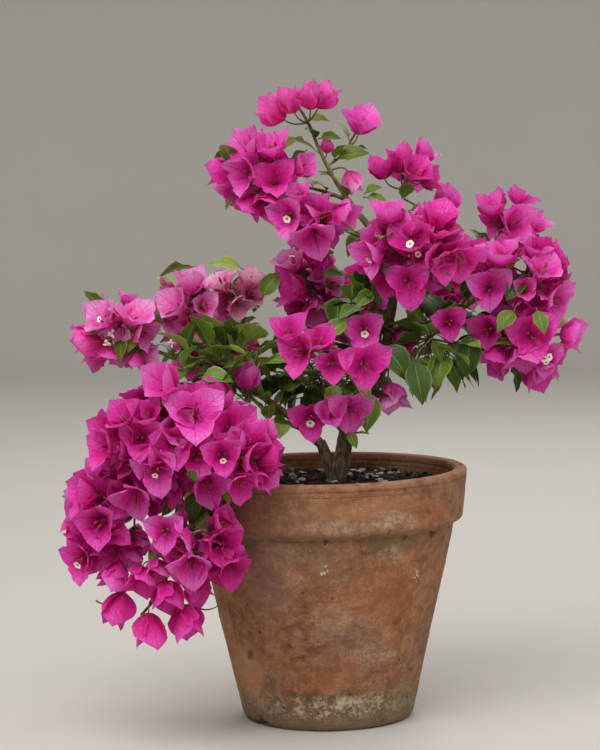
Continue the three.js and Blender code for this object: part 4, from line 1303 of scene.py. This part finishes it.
for root, heading, size, shade in SEEN_LEAVES:
    heading = unit(np.array(heading, float))
    facing = unit(LEAF_FACING - heading * (LEAF_FACING @ heading))
    leaves.append((np.array(root, float), heading, facing, size, shade))
for mass in masses:
    grow(mass)
for mass in masses:
    leaves_along(limbs[mass.name], mass.seed + 11)
leaves_along(limbs["leader_mid"], 401)
leaves_along(limbs["leader_low"], 402, 0.5)

# Grown leaves that would stick out of a flower's open cup are left out.
CUP = {"height": 16, "radius": 11}
cups = np.array([heart + axis * CUP["height"] * size for heart, axis, _, size, *_ in flowers])
cup_radii = np.array([CUP["radius"] * size for _, _, _, size, *_ in flowers])


def in_a_cup(root, heading, size):
    blade = root + np.outer(np.linspace(0.3, 1, 6) * LEAF["length"] * size, heading)
    return bool(np.any(np.linalg.norm(blade[:, None] - cups, axis=2) < cup_radii))


leaves = [row for row in leaves if isinstance(row[4], str) or not in_a_cup(row[0], row[1], row[3])]


def blades(specs, outline, columns, half_width, wave):
    """Points, faces and UVs of thin curved blades, one for each spec: root, heading, facing, length, curl
    at the root and at the tip, fold, cup, twist, and the phase and depth of its ripples. Those are waves
    along the edge, finer ones all over, and creases that slant away from the rib."""
    rows = np.array(outline)
    cols = np.array(columns)
    points = []
    for root, heading, facing, length, curl, tip_curl, fold, cup, twist, phase, crumple in specs:
        side = unit(np.cross(facing, heading))
        facing = np.cross(heading, side)
        spot = np.array(root, float)
        before = 0.0
        for along, wide in rows:
            middle = curl + (tip_curl - curl) * (along + before) / 2
            onward = heading * math.cos(middle) + facing * math.sin(middle)
            spot = spot + onward * length * (along - before)
            before = along
            angle = curl + (tip_curl - curl) * along
            up = facing * math.cos(angle) - heading * math.sin(angle)
            wring = twist * along
            s = side * math.cos(wring) + up * math.sin(wring)
            up = up * math.cos(wring) - side * math.sin(wring)
            out = cols * wide * half_width
            ripple = np.sin(14.5 * along + phase + 2.1 * np.sign(cols)) * cols**4 * wide
            ripple += 0.5 * np.sin(19 * along + 3 * cols + 2 * phase) * (0.3 + cols**2) * wide
            ripple += 0.3 * np.sin(9 * np.abs(cols) - 15 * along + 3 * phase) * np.abs(cols) * wide
            lift = fold * np.abs(out) + cup * out**2 + wave * crumple * ripple
            points.append(spot + np.outer(out, s) * length + np.outer(lift, up) * length)
    width = len(cols)
    faces = []
    for b in range(len(specs)):
        for r in range(len(rows) - 1):
            low = (b * len(rows) + r) * width
            for c in range(width - 1):
                faces.append([low + c, low + width + c, low + width + c + 1, low + c + 1])
    sheet = np.array([(along, 0.5 + 0.5 * c) for along in rows[:, 0] for c in cols])
    return np.vstack(points), faces, np.tile(sheet, (len(specs), 1))


# Along a bract from its root, and the share of its greatest half width there
BRACT_OUTLINE = [
    (0, 0.24), (0.06, 0.64), (0.14, 0.88), (0.25, 1.02), (0.37, 1.06), (0.5, 1.02),
    (0.62, 0.91), (0.73, 0.74), (0.83, 0.5), (0.91, 0.25), (0.96, 0.1), (1, 0.01),
]  # fmt: skip
BRACT_COLUMNS = (-1, -0.8, -0.52, -0.25, 0, 0.25, 0.52, 0.8, 1)
BRACT = {"half_width": 0.44, "wave": 0.06, "off_centre": 1.2, "shortest": 0.75}
# How much more a bract is cupped when its flower is shut, and the share of its crumpling that it has then
SHUT_CUP = 0.3
LEAST_CRUMPLE = 0.35
# Slant from the flower's axis at the root and at the tip, in degrees, when it is shut and when it is open
BRACT_SLANTS = ((34, -18), (52, 92))
# What each bract draws, in this order
BRACT_RANGES = {
    "turn": (-0.15, 0.15), "tilt": (-0.1, 0.1), "curl": (-0.25, 0.25), "stretch": (0.92, 1.08),
    "fold": (0.1, 0.24), "cup": (0.3, 0.75), "twist": (-0.25, 0.25), "phase": (0, 6.28),
    "crumple": (0.6, 1.5), "floret": (0, 1),
}  # fmt: skip
# The tints of each kind of mass, each with the share of flowers that have it or one before it
# Bright, rosy and pale are lighter copies of the magenta, as painted light, and deep a darker one, as
# painted shade. The lit kind gives the upper masses more bright ones, the coral kind lightens the left
# spray with rosy ones, and the pale kind stands for bracts lit from behind.
TINTS = {
    "plain": (("magenta", 0.55), ("bright", 0.84), ("deep", 1)),
    "lit": (("magenta", 0.3), ("bright", 0.9), ("deep", 1)),
    "coral": (("coral", 0.12), ("rosy", 0.75), ("bright", 1)),
    "pale": (("pale", 0.5), ("rosy", 0.75), ("bright", 1)),
}
TINTS["leafy"] = TINTS["plain"]
# Each tint's colour in the throat, darker than the blade as painted shade, on the blade, and along the
# edge, paler as a painted highlight. The coral tint's redder throat is its own colour.
BRACT_COLOURS = {
    "magenta": ((0.46, 0.002, 0.13), (0.86, 0.01, 0.38), (0.97, 0.1, 0.62)),
    "bright": ((0.62, 0.006, 0.23), (0.95, 0.045, 0.54), (0.99, 0.22, 0.77)),
    "deep": ((0.3, 0.001, 0.09), (0.67, 0.004, 0.26), (0.88, 0.04, 0.46)),
    "coral": ((0.62, 0.012, 0.12), (0.91, 0.035, 0.42), (0.97, 0.18, 0.66)),
    "rosy": ((0.8, 0.03, 0.3), (0.98, 0.12, 0.6), (1.0, 0.42, 0.84)),
    "pale": ((0.68, 0.07, 0.28), (0.94, 0.26, 0.56), (1.0, 0.66, 0.84)),
}
bract_specs = {tint: [] for tint in BRACT_COLOURS}
buds = Bundle()
stars = Bundle()
STAR = {"radius": 4.3, "notch": 0.86, "throat": 1.4, "lobes": 5, "rings": ((0.3, 0.0), (1.0, 0.5))}
FLORET = {"height": 15, "bow": 1.6, "open_share": 0.02, "share": 0.85, "least_openness": 0.22}
FLORET_LEAN = (0.16, 0.34)
FLORET_SIZE = (0.8, 1.15)
GROWN_OPENNESS = (0.15, 0.9)
FLOWER_STRETCH = (0.91, 1.05)
TUBE_OPEN = (0.7, 1.0, 1.1, 0.9, 1.0)
TUBE_SHUT = (0.6, 0.8, 1.1, 1.5, 0.5)
SEEN_PICK = 0.84
FLOWER_SEED = 15485863


def star(centre, axis, across, size):
    """One small open flower: five pale lobes round a dark throat."""
    count = 2 * STAR["lobes"]
    points = [centre - axis * STAR["throat"] * size]
    places = [(0.0, 0.0)]
    for ring, lift in STAR["rings"]:
        for i in range(count):
            far = ring if ring < 1 or i % 2 == 0 else STAR["notch"]
            spoke = about(across, axis, 2 * math.pi * i / count)
            points.append(centre + (spoke * far * STAR["radius"] + axis * lift) * size)
            places.append((ring, 0.0))
    faces = [[0, 1 + i, 1 + (i + 1) % count] for i in range(count)]
    for i in range(count):
        n = (i + 1) % count
        faces.append([1 + i, 1 + count + i, 1 + count + n, 1 + n])
    stars.add(np.array(points), faces, np.array(places))


for index, (heart, axis, across, size, mass, given, *named) in enumerate(flowers):
    draw = seeded((index + 1) * FLOWER_SEED % MODULUS)
    mark = named[0] if named else ""
    pick = draw() * (1 if given is None else SEEN_PICK)
    openness = drawn(draw, GROWN_OPENNESS)[0] if given is None else given
    tint = next(name for name, limit in TINTS[mass.kind] if pick <= limit)
    tint = mark if mark in bract_specs else tint
    length = FLOWER["length"] * size * drawn(draw, FLOWER_STRETCH)[0]
    length *= 1 - (1 - BRACT["shortest"]) * openness
    first, last = (math.radians(shut + (opened - shut) * openness) for shut, opened in zip(*BRACT_SLANTS))
    for i in range(3):
        turn, tilt, curl, stretch, *rest = drawn(draw, *BRACT_RANGES.values())
        fold, cup, twist, phase, crumple, shown = rest
        radial = about(across, axis, i * 2 * math.pi / 3 + turn)
        slant = first + tilt
        heading = radial * math.sin(slant) + axis * math.cos(slant)
        facing = axis * math.sin(slant) - radial * math.cos(slant)
        cup += SHUT_CUP * (1 - openness)
        crumple *= LEAST_CRUMPLE + openness
        bent = (0, slant - last - curl, fold, cup, twist, phase, crumple)
        root = heart + radial * BRACT["off_centre"]
        bract_specs[tint].append((root, heading, facing, length * stretch, *bent))
        if "star" in mark:
            shown = 0 if i == 0 or mark == "stars" else 0.5
        if openness < FLORET["least_openness"]:
            continue
        lean, tall = drawn(draw, FLORET_LEAN, FLORET_SIZE)
        top = heart + (axis + radial * lean) * FLORET["height"] * size * tall
        line = bezier(heart, heart + (top - heart) * 0.5 + radial * FLORET["bow"], top, 4)
        if shown < FLORET["open_share"]:
            facing = unit(axis + radial * (lean + 0.2))
            star(top, facing, unit(np.cross(axis, radial)), *drawn(draw, FLORET_SIZE))
            buds.add(*tube(line, TUBE_OPEN, 5))
        elif shown < FLORET["share"]:
            buds.add(*tube(line, TUBE_SHUT, 5))

# Clusters of small cream buds at the ends of the left spray, and three dried stalks on the hanging one
CLUSTERS = [
    (-217, -30, 409), (-156, -20, 398), (-122, 20, 440), (-150, -25, 385), (-38, 10, 421), (-221, -34, 398),
]  # fmt: skip
BUD = {"count": 9, "spread": 6.5, "length": 4.4, "tip": 1.5, "radius": (1.05, 1.5), "far": (0.5, 1)}
for centre in CLUSTERS:
    draw = seeded(7919 + 31 * abs(centre[0]))
    for _ in range(BUD["count"]):
        way = unit(np.array((draw() - 0.5, draw() - 0.5, draw() - 0.3)))
        far, radius = drawn(draw, BUD["far"], BUD["radius"])
        end = np.array(centre) + way * BUD["spread"] * far
        line = [end - way * BUD["length"], end - way * BUD["tip"], end]
        bud_points, bud_faces = tube(line, (0.5, radius, 0.6), 6)
        stars.add(bud_points, bud_faces, (0.9, 0.0))
HOOKS = [
    ((-131, -128, 140), (-121, -136, 134), (-109, -134, 141)),
    ((-232, -120, 146), (-223, -134, 143), (-212, -124, 143)),
    ((-225, -120, 134), (-218, -132, 133), (-211, -122, 140)),
]  # fmt: skip
for ends in HOOKS:
    hook = bezier(*np.array(ends, float), 8)
    buds.add(*tube(hook, np.linspace(1.1, 0.5, len(hook)), 5))


def blade_marks(finish, veins, slant, thin):
    """How far along its blade a place is, how far from its rib, and the side veins that leave the rib."""
    along = finish.uv.part(0)
    off_rib = (finish.uv.part(1) - 0.5).function("ABSOLUTE")
    wave = (along * veins - off_rib * slant) * 6.283
    return along, off_rib, wave.function("SINE").rise(thin, 1.0)


blossom_nodes = ["mass_" + mass.name for mass in masses if not mass.leafy]
leafy_nodes = ["mass_" + mass.name for mass in masses if mass.leafy]
SHEEN = {"Specular_IOR_Level": 0.3, "Sheen_Weight": 0.1, "Sheen_Roughness": 0.4}
for tint, (throat, blade, edge) in BRACT_COLOURS.items():
    papery = Finish("bract_" + tint, Roughness=0.5, **SHEEN)
    along, off_rib, side_veins = blade_marks(papery, 5.2, 4.2, 0.86)
    # Darker towards the throat as painted shade, and paler towards the tip and along the rim as a painted
    # highlight
    colour = (along + 0.35 * papery.place.cloudy(55, 3)).ramp((0.14, throat), (0.55, blade), (1.0, edge))
    net = papery.uv.cells(9.0, feature="DISTANCE_TO_EDGE").rise(0.05, 0.0)
    veins = side_veins * 0.6 + net * 0.5 + off_rib.rise(0.03, 0.0) * 0.8
    colour = (veins * 0.34).tint(colour, throat)
    colour = (off_rib.rise(0.4, 0.49) * 0.4).tint(colour, edge)
    papery.set("Base Color", colour)
    papery.bump(veins, 0.0006)
    papery.glow(colour, 0.3)
    bracts = Bundle()
    bracts.add(*blades(bract_specs[tint], BRACT_OUTLINE, BRACT_COLUMNS, BRACT["half_width"], BRACT["wave"]))
    bracts.piece("bracts_" + tint, papery, "bract", *(blossom_nodes if tint == "magenta" else ()))

cream = Finish("cream_stars", Roughness=0.6)
cream_stops = (0.0, (0.1, 0.04, 0.02)), (0.2, (0.55, 0.3, 0.1)), (0.34, (0.93, 0.88, 0.74))
cream.paint(cream.uv.part(0), *cream_stops)
stars.piece("floret_stars", cream, "floret")
rose = Finish("floret_tubes", Roughness=0.6)
rose.paint(rose.place.cloudy(90), (0.4, (0.2, 0.012, 0.035)), (0.6, (0.4, 0.09, 0.07)))
buds.piece("floret_tubes", rose, "floret")

# The leaves: oval with a drawn-out point, folded a little along a pale midrib, each on a short stalk. They
# are full green, a darker green that is painted shade, or the yellow-green of young ones. The left side has
# more young ones and fewer dark ones, as painted light, and the rest more dark ones, as painted shade.

LEAF_OUTLINE = [
    (0, 0.05), (0.07, 0.36), (0.18, 0.76), (0.34, 1), (0.5, 0.95), (0.66, 0.73), (0.82, 0.4), (0.93, 0.15),
    (1, 0.012),
]  # fmt: skip
LEAF_COLUMNS = (-1, -0.5, 0, 0.5, 1)
BLADE = {"half_width": 0.31, "wave": 0.035, "stalk": 7, "curl": 0.1}
LEAF_SEED = 32452843
# What each leaf draws, in this order
LEAF_RANGES = {
    "stretch": (0.92, 1.12), "droop": (-0.35, -1.05), "fold": (0.08, 0.32), "cup": (0.15, 0.55),
    "twist": (-0.35, 0.35), "phase": (0, 6.28),
}  # fmt: skip
# The shares of young leaves, and of young or dark ones, in the left-hand part of the crown and elsewhere:
# more young ones on the left as painted light, more dark ones elsewhere as painted shade
LEAF_SHARES = {"left": (0.2, 0.35), "elsewhere": (0.1, 0.55)}
LEFT_PART = -40
# Each shade's two greens, and the colour of its rib and rim. The dark shade is a darker copy of the green,
# as painted shade.
LEAF_COLOURS = {
    "green": ((0.07, 0.15, 0.01), (0.18, 0.305, 0.03), (0.46, 0.52, 0.18)),
    "dark": ((0.022, 0.055, 0.004), (0.058, 0.12, 0.009), (0.2, 0.27, 0.07)),
    "young": ((0.2, 0.28, 0.025), (0.34, 0.44, 0.065), (0.52, 0.58, 0.22)),
}
leaf_specs = {shade: [] for shade in LEAF_COLOURS}
stalks = Bundle()
for index, (root, heading, up, size, shade) in enumerate(leaves):
    draw = seeded((index + 1) * LEAF_SEED % MODULUS)
    pick = draw()
    if not isinstance(shade, str):
        young, dark = LEAF_SHARES["left" if root[0] < LEFT_PART else "elsewhere"]
        shade = "young" if pick < young else "dark" if pick < dark else "green"
    stalk = BLADE["stalk"] * size
    foot = root + heading * stalk
    stalks.add(*tube([root, foot + heading], (0.75, 0.6), 4))
    stretch, *bent = drawn(draw, *LEAF_RANGES.values())
    length = (LEAF["length"] * size - stalk) * stretch
    leaf_specs[shade].append((foot, heading, up, length, BLADE["curl"], *bent, 1))
for shade, (low, high, rib_colour) in LEAF_COLOURS.items():
    waxy = Finish("leaf_" + shade, Roughness=0.4, Specular_IOR_Level=0.36)
    along, off_rib, side_veins = blade_marks(waxy, 6.5, 5.5, 0.8)
    rib = off_rib.rise(0.045, 0.012)
    # A paler band along the leaf's edge, the rim, is a painted highlight.
    rim = off_rib.rise(0.4, 0.49)
    colour = waxy.place.cloudy(70, 4).tint(low, high)
    colour = (rib * 0.75 + side_veins * 0.22 + rim * 0.55).tint(colour, rib_colour)
    waxy.set("Base Color", colour)
    waxy.bump(0.7 * rib + 0.3 * side_veins, 0.0008)
    waxy.glow(colour, 0.18)
    foliage = Bundle()
    foliage.add(*blades(leaf_specs[shade], LEAF_OUTLINE, LEAF_COLUMNS, BLADE["half_width"], BLADE["wave"]))
    foliage.piece("leaves_" + shade, waxy, "leaf", *(leafy_nodes if shade == "green" else ()))
leaf_stalk = Finish("leaf_stalks", Roughness=0.6)
leaf_stalk.paint(leaf_stalk.place.cloudy(60), (0.4, (0.1, 0.13, 0.03)), (0.6, (0.22, 0.12, 0.05)))
stalks.piece("leaf_stalks", leaf_stalk, "leaf")

# The twigs: thin olive shoots that carry the flowers and leaves, one mesh with the boughs that they leave.

for path, root_radius, tip_radius, sides in twigs:
    young_wood.add(*tube(path, np.linspace(root_radius, tip_radius, len(path)), sides))
boughs = ["bough_" + mass.name for mass in masses]
young_wood.piece("bark_boughs", green_bark, "green_bark", *boughs)
